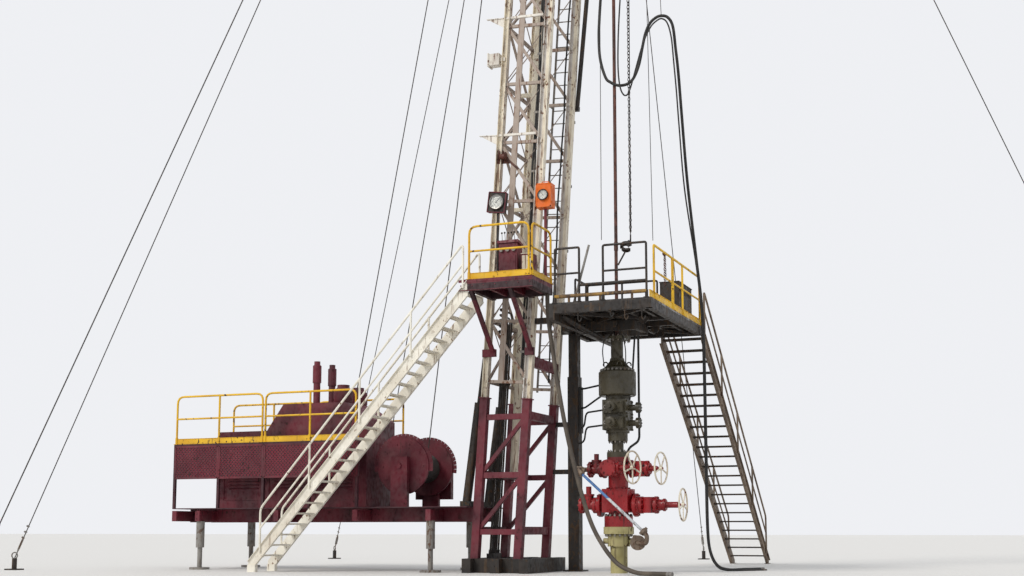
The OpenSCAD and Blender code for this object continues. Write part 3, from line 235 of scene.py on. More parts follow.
def piece(name, parts, finish, replaces=(), smooth=40):
    """One mesh object of the parts in a named finish, riding on the rig; its slot is the finish's own
    name. The handwheels, which turn, need no dressing."""
    points, faces = join(parts) if isinstance(parts, list) else parts
    mesh = bpy.data.meshes.new(name)
    mesh.from_pydata(points.tolist(), [], faces)
    mesh.update()
    if smooth:
        mesh.shade_smooth()
        mesh.set_sharp_from_angle(angle=math.radians(smooth))
    obj = in_scene(name, mesh)
    mesh.materials.append(finishes[finish])
    if replaces:
        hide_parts(*replaces)
    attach(obj, "rig")
    print("made", name, len(points), "points")
    return obj

# %% [markdown]
# Paint on a rig is never one colour. The coat varies, rust runs down in streaks, chips show the steel,
# and dust lies over it all. Each layer is a noise on Object coordinates, so it stays put when the view
# changes; streaks are the same noise squeezed across and drawn out along z. Some finishes add bands of
# other tones at set distances along a direction: on the mast's braces a tone that is partly rust and
# partly painted shade, and under the operator's platform a painted shadow.
# %% Materials
def srgb(code):
    """Colour of a six-figure code in the linear values that a shader takes."""
    c = np.array([int(code[i:i + 2], 16) / 255 for i in (0, 2, 4)])
    c = np.where(c <= 0.04045, c / 12.92, ((c + 0.055) / 1.055) ** 2.4)
    return (*c.tolist(), 1.0)

class Nodes:
    """A node tree, with one call for each new node."""

    def __init__(self, tree):
        self.tree = tree

    def put(self, socket, value):
        """Gives a socket a value, or links it to another node's output."""
        if isinstance(value, bpy.types.NodeSocket):
            self.tree.links.new(value, socket)
        else:
            socket.default_value = value

    def node(self, kind, inputs=None, **settings):
        """A new node with its settings and inputs."""
        node = self.tree.nodes.new("ShaderNode" + kind)
        for key, value in settings.items():
            setattr(node, key, value)
        for key, value in (inputs or {}).items():
            self.put(node.inputs[key], value)
        return node

class Shader(Nodes):
    """A material with a few ways to lay one colour over another."""

    def __init__(self, name):
        self.material = bpy.data.materials.new(name)
        self.material.use_nodes = True
        super().__init__(self.material.node_tree)
        self.surface = self.tree.nodes["Principled BSDF"]
        self.place = self.node("TexCoord").outputs["Object"]

    def noise(self, scale, stretch=(1, 1, 1), detail=4.0, shift=0.0):
        """Cloudy value between 0 and 1 on Object coordinates."""
        moved = self.node("Mapping", {"Scale": stretch, "Location": (shift, shift * 0.7, shift * 1.3),
                                      "Vector": self.place}).outputs["Vector"]
        return self.node("TexNoise", {"Scale": scale, "Detail": detail, "Vector": moved}).outputs["Fac"]

    def ramp(self, value, low, high, top=1.0):
        """0 up to low, top from high on, and a smooth step between them."""
        return self.node("MapRange", {"Value": value, "From Min": low, "From Max": high, "To Max": top},
                         interpolation_type="SMOOTHSTEP").outputs["Result"]

    def over(self, share, below, above):
        """A colour with a share of another laid over it."""
        return self.node("Mix", {"Factor": share, 6: below, 7: above}, data_type="RGBA").outputs[2]

    def times(self, a, b):
        return self.node("Math", {0: a, 1: b}, operation="MULTIPLY").outputs[0]

    def between(self, direction, low, high, edge=0.008):
        """1 where the distance along a direction lies between two values, and 0 elsewhere."""
        far = self.node("VectorMath", {0: self.place, 1: direction}, operation="DOT_PRODUCT").outputs["Value"]
        return self.times(self.ramp(far, low - edge, low + edge), self.ramp(far, high + edge, high - edge))

    def finish(self, colour, rough, bump=None, depth=0.002, metal=0.0):
        """Sets the surface and gives back the material; bump is a height between 0 and 1."""
        for socket, value in (("Base Color", colour), ("Roughness", rough), ("Metallic", metal)):
            self.put(self.surface.inputs[socket], value)
        if bump is not None:
            bumped = self.node("Bump", {"Distance": depth, "Strength": 0.6, "Height": bump})
            self.put(self.surface.inputs["Normal"], bumped.outputs["Normal"])
        return self.material

def painted(name, coat, shade, rust, chips, streaks, dust, dusty, gloss, seed=0.0, bands=()):
    """Weathered paint: coat and shade in patches, other tones in bands (some of them painted shade), rust in
    streaks and chips, dust.
    """
    s = Shader(name)
    broad = s.ramp(s.noise(1.3, detail=3.0, shift=seed), 0.35, 0.7)
    colour = s.over(broad, srgb(coat), srgb(shade))
    for direction, low, high, tone in bands:
        colour = s.over(s.between(direction, low, high), colour, srgb(tone))
    run = s.ramp(s.noise(3.0, (6, 6, 0.5), 5.0, seed + 3), streaks, streaks + 0.12, 0.85)
    colour = s.over(run, colour, srgb(rust))
    chip_noise = s.noise(14.0, (1, 1, 0.7), 6.0, seed + 7)
    patch = s.ramp(s.noise(1.9, detail=2.0, shift=seed + 5), 0.46, 0.6)
    colour = s.over(s.times(s.ramp(chip_noise, chips - 0.03, chips + 0.03), patch), colour, srgb(rust))
    dirt = s.ramp(s.noise(4.0, detail=6.0, shift=seed + 11), 0.45, 0.8, dusty)
    colour = s.over(dirt, colour, srgb(dust))
    rough = s.ramp(chip_noise, 0.3, 0.8, 0.9 - gloss)
    return s.finish(colour, s.node("Math", {0: rough, 1: gloss}).outputs[0], chip_noise)

DEEP, HIGH = (math.cos(LEAN), 0.0, -math.sin(LEAN)), (0.0, 0.0, 1.0)
U0 = float(np.dot(MAST_FOOT, DEEP))
REAR_EDGE, FRONT_EDGE = LEG_REAR - MAST_D / 2, MAST_D / 2 - LEG_FRONT
BOX_FOOT = corners("pressure_gauge")[1][2] - 0.53
# Coat, shade, rust; where chips and streaks begin; dust and its share; gloss, seed and bands
COATS = {
    "cream_paint": ("e6deca", "cabda8", "6e4630", 0.6, 0.56, "a0938c", 0.4, 0.45),
    "maroon_paint": ("671a29", "45121e", "2a1512", 0.64, 0.62, "7a5a58", 0.22, 0.42, 2.0),
    "black_steel": ("171311", "241b15", "43301c", 0.57, 0.55, "4c3e32", 0.18, 0.45, 4.0),
    "yellow_paint": ("e8b91c", "d3a015", "4a3420", 0.6, 0.62, "8a7440", 0.25, 0.38, 6.0),
    "tan_steel": ("857463", "5f5145", "4c3526", 0.56, 0.55, "a08e78", 0.4, 0.55, 8.0),
    "olive_paint": ("423c2b", "2d291f", "2e2218", 0.63, 0.62, "6b6149", 0.2, 0.2, 10.0),
    "red_paint": ("92141b", "620f15", "2e1412", 0.6, 0.6, "6a3a34", 0.2, 0.26, 12.0),
    "orange_paint": ("ea7212", "d25e0e", "5a2a14", 0.68, 0.68, "9a6a40", 0.2, 0.4, 14.0),
    "grey_steel": ("8a8782", "6f6a66", "5a4334", 0.56, 0.56, "9c9080", 0.4, 0.4, 16.0),
    "tubing": ("653528", "4b281f", "3a221c", 0.5, 0.5, "7d5a4a", 0.4, 0.5, 18.0),
    # Tones that only some pieces wear
    # Lower mast: the first band gives the braces between the front and rear legs a mauve-brown that is partly
    # rust and partly painted shade; the second is a pale grey strip along the front leg's rear part
    "mast_lower": ("eae2cf", "d2c6b0", "6e4630", 0.59, 0.55, "a3958e", 0.4, 0.45, 1.0, [
        (DEEP, U0 + REAR_EDGE, U0 + FRONT_EDGE, "a39488"),
        (DEEP, U0 + FRONT_EDGE, U0 + FRONT_EDGE + LEG_FRONT * 0.4, "cfcac4")]),
    "mast_upper": ("e9e4da", "cdc6bb", "6e4a38", 0.6, 0.56, "9a8f8c", 0.38, 0.45, 3.0),
    # Braces, gussets and the mast's back: a darker mauve-brown, partly rust and partly painted shade
    "mast_brace": ("a39488", "84766c", "5f4030", 0.58, 0.55, "7d7070", 0.4, 0.5, 5.0),
    "stair_white": ("f0ece0", "dcd5c6", "75563c", 0.65, 0.61, "a39a8a", 0.3, 0.45, 7.0),
    "casing_green": ("b3aa78", "7f7648", "4a3a20", 0.56, 0.56, "9a8c66", 0.4, 0.4, 9.0),
    "tread_brown": ("3a2f27", "251d18", "5a3f28", 0.54, 0.55, "6e5d4a", 0.35, 0.45, 19.0),
    "worn_yellow": ("b58b2c", "6a5030", "3b2a20", 0.48, 0.5, "6a5a4a", 0.4, 0.5, 11.0),
    "gauge_orange": ("ea7212", "d25e0e", "5a2a14", 0.68, 0.68, "9a6a40", 0.2, 0.4, 14.0, [
        (HIGH, 0.0, BOX_FOOT, "671a29")]),
    # Painted shadow: the platform's maroon turns near black from 0.09 m to 0.4 m below its deck, where the
    # underside lies in shade
    "platform_maroon": ("671a29", "45121e", "2a1512", 0.62, 0.62, "7a5a58", 0.2, 0.45, 2.0, [
        (HIGH, PLAT_Z - 0.4, PLAT_Z - 0.09, "2c1218")]),
    "panel_maroon": ("421420", "300e18", "2a1512", 0.64, 0.62, "6a4a48", 0.2, 0.5, 13.0),
    "mesh_maroon": ("8a2338", "6a1a2b", "3a1815", 0.62, 0.62, "8a5a58", 0.2, 0.45, 15.0),
    "pipe_blue": ("c9ccd0", "a3a8ae", "6a6058", 0.6, 0.6, "8a8884", 0.3, 0.35, 17.0, [
        (HIGH, 1.55, 3.0, "4878b4")]),
}
finishes = {name: painted(name, *coat) for name, coat in COATS.items()}
WORN_BY = {"lower_mast_near_side": "mast_lower", "lower_mast_far_side": "mast_lower",
           "lower_mast_back": "mast_brace", "upper_mast_near_side": "mast_upper",
           "upper_mast_far_side": "mast_upper", "upper_mast_back": "mast_brace",
           "casing_head": "casing_green", "pressure_gauge": "gauge_orange",
           "operator_platform": "platform_maroon", "carrier_deck": "panel_maroon",
           "operator_stair_stringers": "stair_white", "operator_stair_treads": "stair_white",
           "operator_stair_handrails": "stair_white", "floor_stair_treads": "tread_brown"}

def strand_material(name, colour, dark):
    """Wire rope: fine diagonal bands for the lay of the strands."""
    s = Shader(name)
    wave = s.node("TexWave", {"Scale": 30.0, "Vector": s.place}, bands_direction="DIAGONAL").outputs["Fac"]
    base = s.over(wave, srgb(dark), srgb(colour))
    colour = s.over(s.ramp(s.noise(2.0), 0.4, 0.7, 0.5), base, srgb("3a2c22"))
    return s.finish(colour, 0.55, wave, 0.001)

def rubber(name, colour, dust, share):
    """Hose cover: near black, scuffed, with dust in patches."""
    s = Shader(name)
    fine = s.noise(40.0, detail=5.0)
    base = s.over(s.ramp(s.noise(2.5, detail=5.0), 0.4, 0.75, share), srgb(colour), srgb(dust))
    base = s.over(s.ramp(fine, 0.62, 0.7, 0.5), base, srgb("4a443e"))
    return s.finish(base, 0.6, fine, 0.0006)

finishes["wire_rope"] = strand_material("wire_rope", "4a4744", "1e1c1b")
finishes["rubber_hose"] = rubber("rubber_hose", "131212", "4c4640", 0.3)
finishes["canvas_hose"] = rubber("canvas_hose", "463e36", "6c6154", 0.7)
slot_of = {s["node"]: s["material_slot"] for s in frame["record"]["subparts"]}
for name, node in nodes.items():
    node.data.materials.clear()
    node.data.materials.append(finishes[WORN_BY.get(name, slot_of[name])])
print(len(finishes), "finishes on", len(nodes), "nodes")

# %% [markdown]
# Soft daylight: a pale world for the fill and one broad lamp for direction. The camera sees a plain pale
# backdrop, and the floor keeps the rig's shadow.
# %% Light and floor
world = bpy.data.worlds.new("studio")
world.use_nodes = True
bpy.context.scene.world = world
sky = Nodes(world.node_tree)
fill = sky.tree.nodes["Background"]
sky.put(fill.inputs["Color"], (0.95, 0.97, 1.0, 1.0))
sky.put(fill.inputs["Strength"], 0.75)
seen = sky.node("Background", {"Color": (0.86, 0.87, 0.9, 1.0), "Strength": 1.0})
path = sky.node("LightPath").outputs
reach = sky.node("Math", {0: path["Is Camera Ray"], 1: path["Is Glossy Ray"]}, operation="MAXIMUM")
mix = sky.node("MixShader", {0: reach.outputs[0], 1: fill.outputs[0], 2: seen.outputs[0]})
sky.put(sky.tree.nodes["World Output"].inputs["Surface"], mix.outputs[0])

sun_data = bpy.data.lights.new("sun", "SUN")
sun_data.energy = 1.6
sun_data.angle = math.radians(18)
sun_data.color = (1.0, 0.96, 0.9)
sun = in_scene("sun", sun_data)
sun.rotation_euler = (math.radians(52), 0.0, math.radians(-28))

ground = Shader("ground").finish((0.74, 0.73, 0.71, 1.0), 0.9)
floor_mesh = bpy.data.meshes.new("floor")
SPAN = 220.0
square = [(x * SPAN, y * SPAN, 0) for x, y in ((-1, -1), (1, -1), (1, 1), (-1, 1))]
floor_mesh.from_pydata(square, [], [(0, 1, 2, 3)])
floor_mesh.materials.append(ground)
floor = in_scene("floor", floor_mesh)
bpy.context.scene.view_settings.view_transform = "Standard"

# %% [markdown]
# Two hoses hang beside the mast in a loop and an arch, and run down past the floor's corner to the
# ground. A third, dusty and thicker, starts under the operator's platform. Their routes are the same
# points as the model's, measured in millimetres from the well's foot, and a smooth curve runs through
# them. Each ends in a coupling.
# %% Hoses
LONG_ROUTE = [
    (-780, 820, 13900), (-660, 760, 13930), (-540, 660, 13760), (-460, 530, 13400),
    (-420, 380, 12900), (-400, 220, 12350), (-380, 90, 11800), (-320, -10, 11240),
    (-180, -70, 10780), (-50, -95, 10640), (90, -100, 10560), (215, -100, 10540),
    (350, -95, 10570), (470, -80, 10690), (580, -50, 10980), (660, -20, 11400),
    (720, 0, 11680), (820, 0, 11890), (950, 0, 12000), (1080, 0, 12030), (1220, 20, 11980),
    (1320, 60, 11780), (1350, 160, 11300), (1370, 280, 10800), (1370, 520, 9900),
    (1375, 900, 8500), (1385, 1550, 6900), (1410, 1850, 6000), (1425, 1940, 5200),
    (1430, 1960, 4000), (1430, 1970, 2400), (1430, 1980, 1000), (1470, 2010, 450),
    (1600, 2110, 130), (1800, 2280, 34), (2100, 2620, 34), (2350, 3050, 34)]
THIN_ROUTE = [
    (290, -60, 13600), (240, -100, 13200), (190, -150, 12400), (155, -185, 11600),
    (150, -200, 10900), (190, -200, 10480), (270, -200, 10290), (360, -200, 10290),
    (440, -200, 10470), (560, -180, 10900), (700, -140, 11400), (860, -100, 11760),
    (1000, -80, 11900), (1120, -75, 11930), (1230, -50, 11820), (1300, 0, 11500),
    (1320, 90, 11000), (1330, 240, 10400), (1320, 470, 9650), (1325, 850, 8300),
    (1390, 1450, 6850), (1405, 1760, 6000), (1420, 1850, 5200), (1425, 1875, 4000),
    (1425, 1885, 2400), (1430, 1890, 1000), (1480, 1920, 420), (1620, 1990, 110),
    (1820, 2120, 19), (2150, 2420, 19), (2450, 2820, 19)]
FLOW_ROUTE = [
    (-1140, -1200, 5819), (-1140, -1200, 5650), (-1120, -1200, 5300), (-1040, -1200, 4700),
    (-930, -1200, 4000), (-790, -1200, 3200), (-600, -1200, 2350), (-400, -1200, 1600),
    (-190, -1200, 1000), (60, -1210, 560), (330, -1240, 250), (600, -1300, 110),
    (850, -1400, 52), (1150, -1560, 48), (1500, -1700, 47)]
LONG_D, THIN_D, FLOW_D = 0.064, 0.034, 0.09

def smooth_route(points, steps):
    """Curve through the points: on each span 0.5 (2b + (c-a)t + (2a-5b+4c-d)t^2 + (3b-a-3c+d)t^3)."""
    p = np.array(points, float) / 1000 + well
    p = np.vstack([p[:1], p, p[-1:]])
    a, b, c, d = p[:-3, None], p[1:-2, None], p[2:-1, None], p[3:, None]
    t = (np.arange(steps) / steps)[None, :, None]
    curve = 0.5 * (2 * b + (c - a) * t + (2 * a - 5 * b + 4 * c - d) * t ** 2
                   + (3 * b - a - 3 * c + d) * t ** 3)
    return np.vstack([curve.reshape(-1, 3), p[-1:]])

def hose(name, route, diameter, far_piece):
    """A hose along its route with the coupling on its end."""
    line = smooth_route(route, 6)
    obj = piece(name + "_cover", [sweep(line, diameter / 2, 14)], slot_of[name], replaces=(name,))
    last = line[-1] - line[-2]
    # Height along the coupling, and radius as a share of the hose's
    steps = [(0.0, 1.0), (0.02, 1.12), (0.055, 1.12), (0.057, 0.9), (0.085, 0.9), (0.087, 1.1), (0.13, 1.1)]
    fitting = placed(turned([(diameter / 2 * k * 0.92, h) for h, k in steps], 24), line[-1], last)
    tip = piece(far_piece, [fitting], "grey_steel", replaces=("hose_couplings",))

hose("long_hose", LONG_ROUTE, LONG_D, "long_hose_coupling")
hose("thin_hose", THIN_ROUTE, THIN_D, "thin_hose_coupling")
hose("flow_hose", FLOW_ROUTE, FLOW_D, "flow_hose_coupling")

# %% [markdown]
# Handrails are bent from one length of pipe: up from a socket, over in a quarter bend, along, and down
# again. Straight posts and a middle rail are welded in. A hoop carried along its path gives the bend that
# a plain cylinder lacks. Toe boards are thin plates with a folded top edge.
# %% Handrails
PIPE, MID_RAIL, BEND = 0.024, 0.52, 0.17
SOCKET_H, FOOT = 0.15, np.array([0.05, 0.05, 0.0])

def hoop(p, q, z, bays, bend):
    """Bent pipe over two places at height z, with a middle rail and posts at even steps or given shares."""
    shares = bays if isinstance(bays, tuple) else np.linspace(0, 1, bays + 1)
    p, q, top = np.array([*p, z]), np.array([*q, z]), (RAIL_H - PIPE) * UP
    parts = [sweep(rounded([p, p + top, q + top, q], bend), PIPE),
             straight(p + UP * RAIL_H * MID_RAIL, q + UP * RAIL_H * MID_RAIL, PIPE * 0.9, 10)]
    for share in shares:
        foot = p + (q - p) * share
        parts.append(straight(foot + UP * 0.002, foot + UP * SOCKET_H, PIPE * 1.4, 10))
        parts.append(block(foot - FOOT, foot + FOOT + UP * 0.01))
        if 0 < share < 1:
            parts.append(straight(foot, foot + top, PIPE))
    return parts

def toe_board(p, q, z, height=TOE_H, thick=0.01):
    """Thin board on edge with a small folded lip along its top."""
    p, q = np.array([*p, z]), np.array([*q, z])
    return [bar(p + UP * height / 2, q + UP * height / 2, thick, height),
            bar(p + UP * height, q + UP * height, thick * 3, 0.006)]

def rail_lines(node):
    """Where the middles of a rail's outer pipes run: x0, x1, y0, y1."""
    lo, hi = corners(node)
    return lo[0] + PIPE, hi[0] - PIPE, lo[1] + PIPE, hi[1] - PIPE

x0, x1, y0, y1 = rail_lines("operator_rail")
plat = [hoop((x0, y0), (x1 - 0.05, y0), PLAT_Z, 1, BEND), hoop((x1, y0 + 0.05), (x1, y1), PLAT_Z, 1, BEND),
        toe_board((x0, y0), (x1, y0), PLAT_Z), toe_board((x1, y0), (x1, y1), PLAT_Z)]
piece("operator_pipe_rail", sum(plat, []), "yellow_paint", replaces=("operator_rail",))

x, (y0, y1) = middle("floor_rail_front")[0], rail_lines("floor_rail_front")[2:]
front = [hoop((x, y0 + 0.33), (x, y0 + 1.73), FLOOR_Z, 1, 0.04),
         hoop((x, y0 + 1.78), (x, y1), FLOOR_Z, (0, 0.34, 1), 0.05),
         toe_board((x, y0), (x, y1), FLOOR_Z, 0.15, 0.014)]
piece("front_pipe_rail", sum(front, []), "yellow_paint", replaces=("floor_rail_front",))

def chain(top, bottom, pitch=0.05, wire=0.006):
    """Oval links from top to bottom, each turned a quarter from the one before."""
    top, bottom = np.asarray(top, float), np.asarray(bottom, float)
    ray = (bottom - top) / np.linalg.norm(bottom - top)
    side = np.cross(ray, [0.3, 1.0, 0.1])
    side /= np.linalg.norm(side)
    sides = (side, np.cross(ray, side))
    a = np.linspace(0, 2 * np.pi, 11)[:, None]
    links = []
    for i in range(int(np.linalg.norm(bottom - top) / pitch)):
        oval = ray * np.cos(a) * pitch * 0.62 + sides[i % 2] * np.sin(a) * pitch * 0.36
        links.append(sweep(top + ray * pitch * (i + 0.5) + oval, wire, 5, caps=False))
    return links

hang = np.array([x - 0.03, -0.79, FLOOR_Z + RAIL_H - PIPE])
loose = chain(hang, hang - UP * 0.72) + chain(hang + [0, 0.05, 0], hang + [0.0, 0.09, -0.55])
loose.append(placed(turned([(0.03, -0.02), (0.045, 0), (0.03, 0.02)], 16), hang, Y))
piece("rail_chain", loose, "tubing")

x0, _, y0, y1 = rail_lines("floor_rails")
near_x, near_end = well[0] - 0.665, well[0] + 1.26
gate_x, far_x = near_end - 0.9, well[0] + 0.34
third = FLOOR_Z + RAIL_H * 0.3
rails = [hoop((near_x, y0), (near_x + 0.52, y0), FLOOR_Z, 1, 0.04),
         hoop((gate_x, y0), (near_end, y0), FLOOR_Z, 1, 0.04),
         [straight((near_x + 0.52, y0, third), (near_end, y0, third), PIPE * 1.3)],
         hoop((x0, y1), (far_x, y1), FLOOR_Z, 2, 0.05), toe_board((x0, y1), (far_x, y1), FLOOR_Z),
         hoop((x0, y1 - 0.12), (x0, MAST_W / 2 + 0.25), FLOOR_Z, 1, 0.05)]
piece("floor_pipe_rails", sum(rails, []), "black_steel", replaces=("floor_rails",))
edge_pipe = [straight((near_x, y0, FLOOR_Z + TOE_H), (near_end, y0, FLOOR_Z + TOE_H), PIPE * 1.6, 16)]
for x in np.linspace(near_x + 0.3, near_end - 0.3, 3):
    edge_pipe.append(block([x - 0.02, y0 - 0.02, FLOOR_Z], [x + 0.02, y0 + 0.02, FLOOR_Z + TOE_H]))
piece("near_edge_pipe", edge_pipe, "worn_yellow", replaces=("floor_rails",))
pole = [straight((well[0] - 0.29, y0 + 0.09, FLOOR_Z), (well[0] + 0.05, y0 + 0.055, FLOOR_Z + 1.16), PIPE)]
piece("leaning_pole", pole, "grey_steel")

x0, x1, y0, y1 = rail_lines("walkway_rail")
WALK_Z, half_run = corners("walkway_rail")[0][2], (x1 - x0) / 2
walk = []
for y in (y0, y1):
    for a in (x0, x0 + half_run):
        walk.append(hoop((a, y), (a + half_run - 0.08, y), WALK_Z, 2, BEND))
    walk.append(toe_board((x0, y), (x1, y), WALK_Z))
piece("walkway_pipe_rail", sum(walk, []), "yellow_paint", replaces=("walkway_rail",))

# %% [markdown]
# Both stairs are open. A tread is a grating: bars on edge run from stringer to stringer, a few rods
# cross them, and a folded nosing takes the wear. The stringers are channels, so each plate gets two
# flanges. The flights differ only in their going, so one function makes either.
# %% Stairs
RISE = 0.227
FLIGHTS = {
    "floor": dict(top=np.array([well[0] + 0.4, 2.07, FLOOR_Z]), along=Y, across=X, steps=24, going=0.295,
                  width=0.9, depth=0.23, start=0.04, rail=0.95, tread="black_steel", side="tan_steel"),
    "operator": dict(top=np.array([-0.17, -2.20, PLAT_Z]), along=-X, across=Y, steps=26, going=0.199,
                     width=0.76, depth=0.184, start=0.02, rail=0.9, tread="cream_paint", side="cream_paint")}
WALL, NOSING, GRATING_BARS = 0.03, 0.03, 8
BAR_T, ROD_T, END_T = 0.005, 0.008, 0.006

def flight_point(f, a, b, c):
    """Place measured from a flight's top: a along the run, b across it, c up."""
    return f["top"] + f["along"] * a + f["across"] * b + UP * c

def slab(f, a, b, c):
    """Box in the same directions, each a pair of limits."""
    ends = [flight_point(f, a[i], b[i], c[i]) for i in (0, 1)]
    return block(np.minimum(*ends), np.maximum(*ends))

def flight_treads(f):
    """For each tread its bars on edge, the rods across them, a nosing and two end plates."""
    parts = []
    across = (WALL, WALL + f["width"])
    for i in range(1, f["steps"]):
        z = -i * RISE
        a0 = (i - 1) * f["going"] + f["start"]
        a1 = a0 + f["depth"]
        for a in np.linspace(a0 + 0.004, a1 - NOSING, GRATING_BARS):
            parts.append(slab(f, (a, a + BAR_T), across, (z - 0.04, z - 0.01)))
        for b in np.linspace(across[0] + 0.05, across[1] - 0.05, GRATING_BARS):
            parts.append(slab(f, (a0, a1 - 0.02), (b, b + ROD_T), (z - 0.02, z - 0.012)))
        parts.append(slab(f, (a1 - NOSING, a1), across, (z - 0.045, z - 0.008)))
        for b in (across[0], across[1] - END_T):
            parts.append(slab(f, (a0, a1), (b, b + END_T), (z - 0.06, z - 0.008)))
    return parts

def flight_flanges(f):
    """Two flanges along each stringer, and two bolts at each end of a tread."""
    run, drop = (f["steps"] - 1) * f["going"], f["steps"] * RISE
    parts = []
    for b in (-0.012, f["width"] + 2 * WALL + 0.012):
        upper = flight_point(f, 0, b, -0.005), flight_point(f, run + f["going"], b, -drop + RISE * 0.35)
        lower = flight_point(f, 0, b, -0.338), flight_point(f, run, b, -drop + 0.005)
        parts += [bar(*upper, 0.055, 0.01), bar(*lower, 0.055, 0.01)]
        side = -1 if b < 0 else 1
        for i in range(1, f["steps"]):
            for a in (0.05, 0.15):
                forward = (i - 1) * f["going"] + f["start"] + a
                at = flight_point(f, forward, b - side * 0.012, -i * RISE - 0.03)
                parts.append(placed(hex_nut(0.012, 0.012), at, side * f["across"]))
    return parts

def flight_rails(f):
    """On both sides a bent handrail, a middle rail and posts."""
    run, drop = (f["steps"] - 1) * f["going"], (f["steps"] - 1) * RISE
    parts = []
    for b in (-PIPE, f["width"] + 2 * WALL + PIPE):
        at = lambda s, c: flight_point(f, run * s, b, -drop * s + c)
        h = f["rail"]
        parts.append(sweep(rounded([at(0.02, -0.06), at(0.02, h - PIPE), at(0.98, h - PIPE),
                                    at(0.98, -0.06)], 0.1), PIPE))
        parts.append(straight(at(0.02, h / 2), at(0.98, h / 2), PIPE * 0.85, 10))
        for s in (0.26, 0.5, 0.74):
            parts.append(straight(at(s, -0.06), at(s, h - PIPE), PIPE))
    return parts

for name, f in FLIGHTS.items():
    stair = name + "_stair"
    tread, rail = (WORN_BY.get(stair + kind, f["side"]) for kind in ("_treads", "_handrails"))
    piece(stair + "_grating", flight_treads(f), tread, replaces=(stair + "_treads",),
          smooth=0)
    piece(stair + "_channels", flight_flanges(f), rail, smooth=0)
    piece(stair + "_pipe_rails", flight_rails(f), rail, replaces=(stair + "_handrails",))

# %% [markdown]
# The tongs hang on a chain over the hole: a rod, a body, two jaws that reach half round the tubing, and a
# lever that slopes down. A jaw is a ring sector given thickness along its axis.
# %% Tongs
tlo, thi = corners("pipe_tongs")
HANG_X, TONG_Z = well[0] + 0.33, thi[2] - 0.24

def jaw(inner, outer, start, stop, thick, origin, axis):
    """Ring sector: points on two arcs, given thickness along the axis."""
    a = np.radians(np.linspace(start, stop, 15))
    arc = np.stack([np.cos(a), np.sin(a)], -1)
    flat = np.vstack([arc * outer, arc[::-1] * inner])
    n = len(flat)
    points = np.vstack([np.column_stack([flat, np.full(n, z)]) for z in (-thick / 2, thick / 2)])
    faces = [list(range(n))[::-1], list(range(n, 2 * n))]
    faces += [[k, (k + 1) % n, n + (k + 1) % n, n + k] for k in range(n)]
    return placed((points, faces), origin, axis)

head = np.array([well[0] + 0.225, -0.01, TONG_Z - 0.02])
tongs = [straight((HANG_X, 0, thi[2]), (HANG_X, 0, TONG_Z), 0.016, 12),
         bar((HANG_X, 0, TONG_Z + 0.06), head + [0.02, 0, 0.04], 0.11, 0.1, up=Y),
         jaw(0.062, 0.125, 60, 200, 0.09, head, (0.25, -0.75, 0.5)),
         jaw(0.062, 0.115, 215, 330, 0.08, head + [0.01, 0, -0.02], (0.25, -0.75, 0.5)),
         bar(head + [0.03, -0.02, -0.05], (well[0] + 0.075, -0.1, tlo[2] + 0.03), 0.05, 0.035),
         straight(head + [0.1, 0, 0.1], head + [0.13, -0.08, 0.16], 0.014, 10)]
piece("hanging_tongs", tongs, "black_steel", replaces=("pipe_tongs",))
piece("tong_chain", chain((HANG_X, 0, thi[2] + 6.2), (HANG_X, 0, thi[2]), 0.075, 0.009), "black_steel")

# %% [markdown]
# At every joint of the lattice a gusset plate is welded between leg and brace. Some carry bolts. The
# plates are outlines thickened along their own normal, in the leaning mast's directions.
# %% Mast gussets and rods
SIDE_V, ROW_H = MAST_W / 2 - LEG_B / 2, 0.064
REAR_U, FRONT_U = -MAST_D / 2 + LEG_REAR / 2, MAST_D / 2 - LEG_FRONT / 2
ALONG_U = mast(1, 0, 0) - mast(0, 0, 0)
ALONG_W = mast(0, 0, 1) - mast(0, 0, 0)

def plate(outline, thick, origin, right, up):
    """Outline in its own plane, given thickness along right x up; its points run counterclockwise."""
    outline = np.asarray(outline, float)
    right, up = np.asarray(right, float), np.asarray(up, float)
    out = np.cross(right, up)
    face = np.asarray(origin, float) + outline[:, :1] * right + outline[:, 1:] * up
    n = len(outline)
    sides = [[i, (i + 1) % n, n + (i + 1) % n, n + i] for i in range(n)]
    return np.vstack([face, face + out * thick]), [list(range(n))[::-1], list(range(n, 2 * n))] + sides

LOWER_ROWS = 9
UPPER_V, UPPER_REAR = 0.675, -0.36
GUSSET = [(0, -0.09), (0.08, -0.04), (0.08, 0.04), (0, 0.09)]
gussets, bolts = [], []
for s in (-1, 1):
    right = ALONG_U if s < 0 else -ALONG_U
    for i in range(LOWER_ROWS + 1):
        w = FIRST_ROW + i * BAY
        v = s * (SIDE_V + ROW_H / 2)
        for u, turn in ((REAR_U + 0.04, 1), (FRONT_U - 0.04, -1)):
            k = turn * (1 if s < 0 else -1)
            ring = [(a * k, b) for a, b in GUSSET]
            gussets.append(plate(ring if k > 0 else ring[::-1], 0.012, mast(u, v, w), right, ALONG_W))
            for b in (-0.035, 0.035):
                at = mast(u + turn * 0.035, v + s * 0.012, w + b)
                bolts.append(placed(hex_nut(0.017, 0.016), at, Y * s))
        if i < LOWER_ROWS:
            rod_v = s * (SIDE_V - 0.02)
            rod_top = mast(FRONT_U - 0.05, rod_v, w + BAY - 0.02)
            gussets.append(straight(mast(REAR_U, rod_v, w + 0.02), rod_top, 0.011, 8))
for i in range(LOWER_ROWS):
    w = FIRST_ROW + i * BAY
    s = -1 if i % 2 == 0 else 1
    gussets.append(straight(mast(REAR_U, -s * 0.74, w), mast(REAR_U, s * 0.74, w + BAY), 0.012, 8))
piece("mast_gussets", gussets, "mast_brace")
piece("mast_bolts", bolts, "grey_steel", smooth=0)

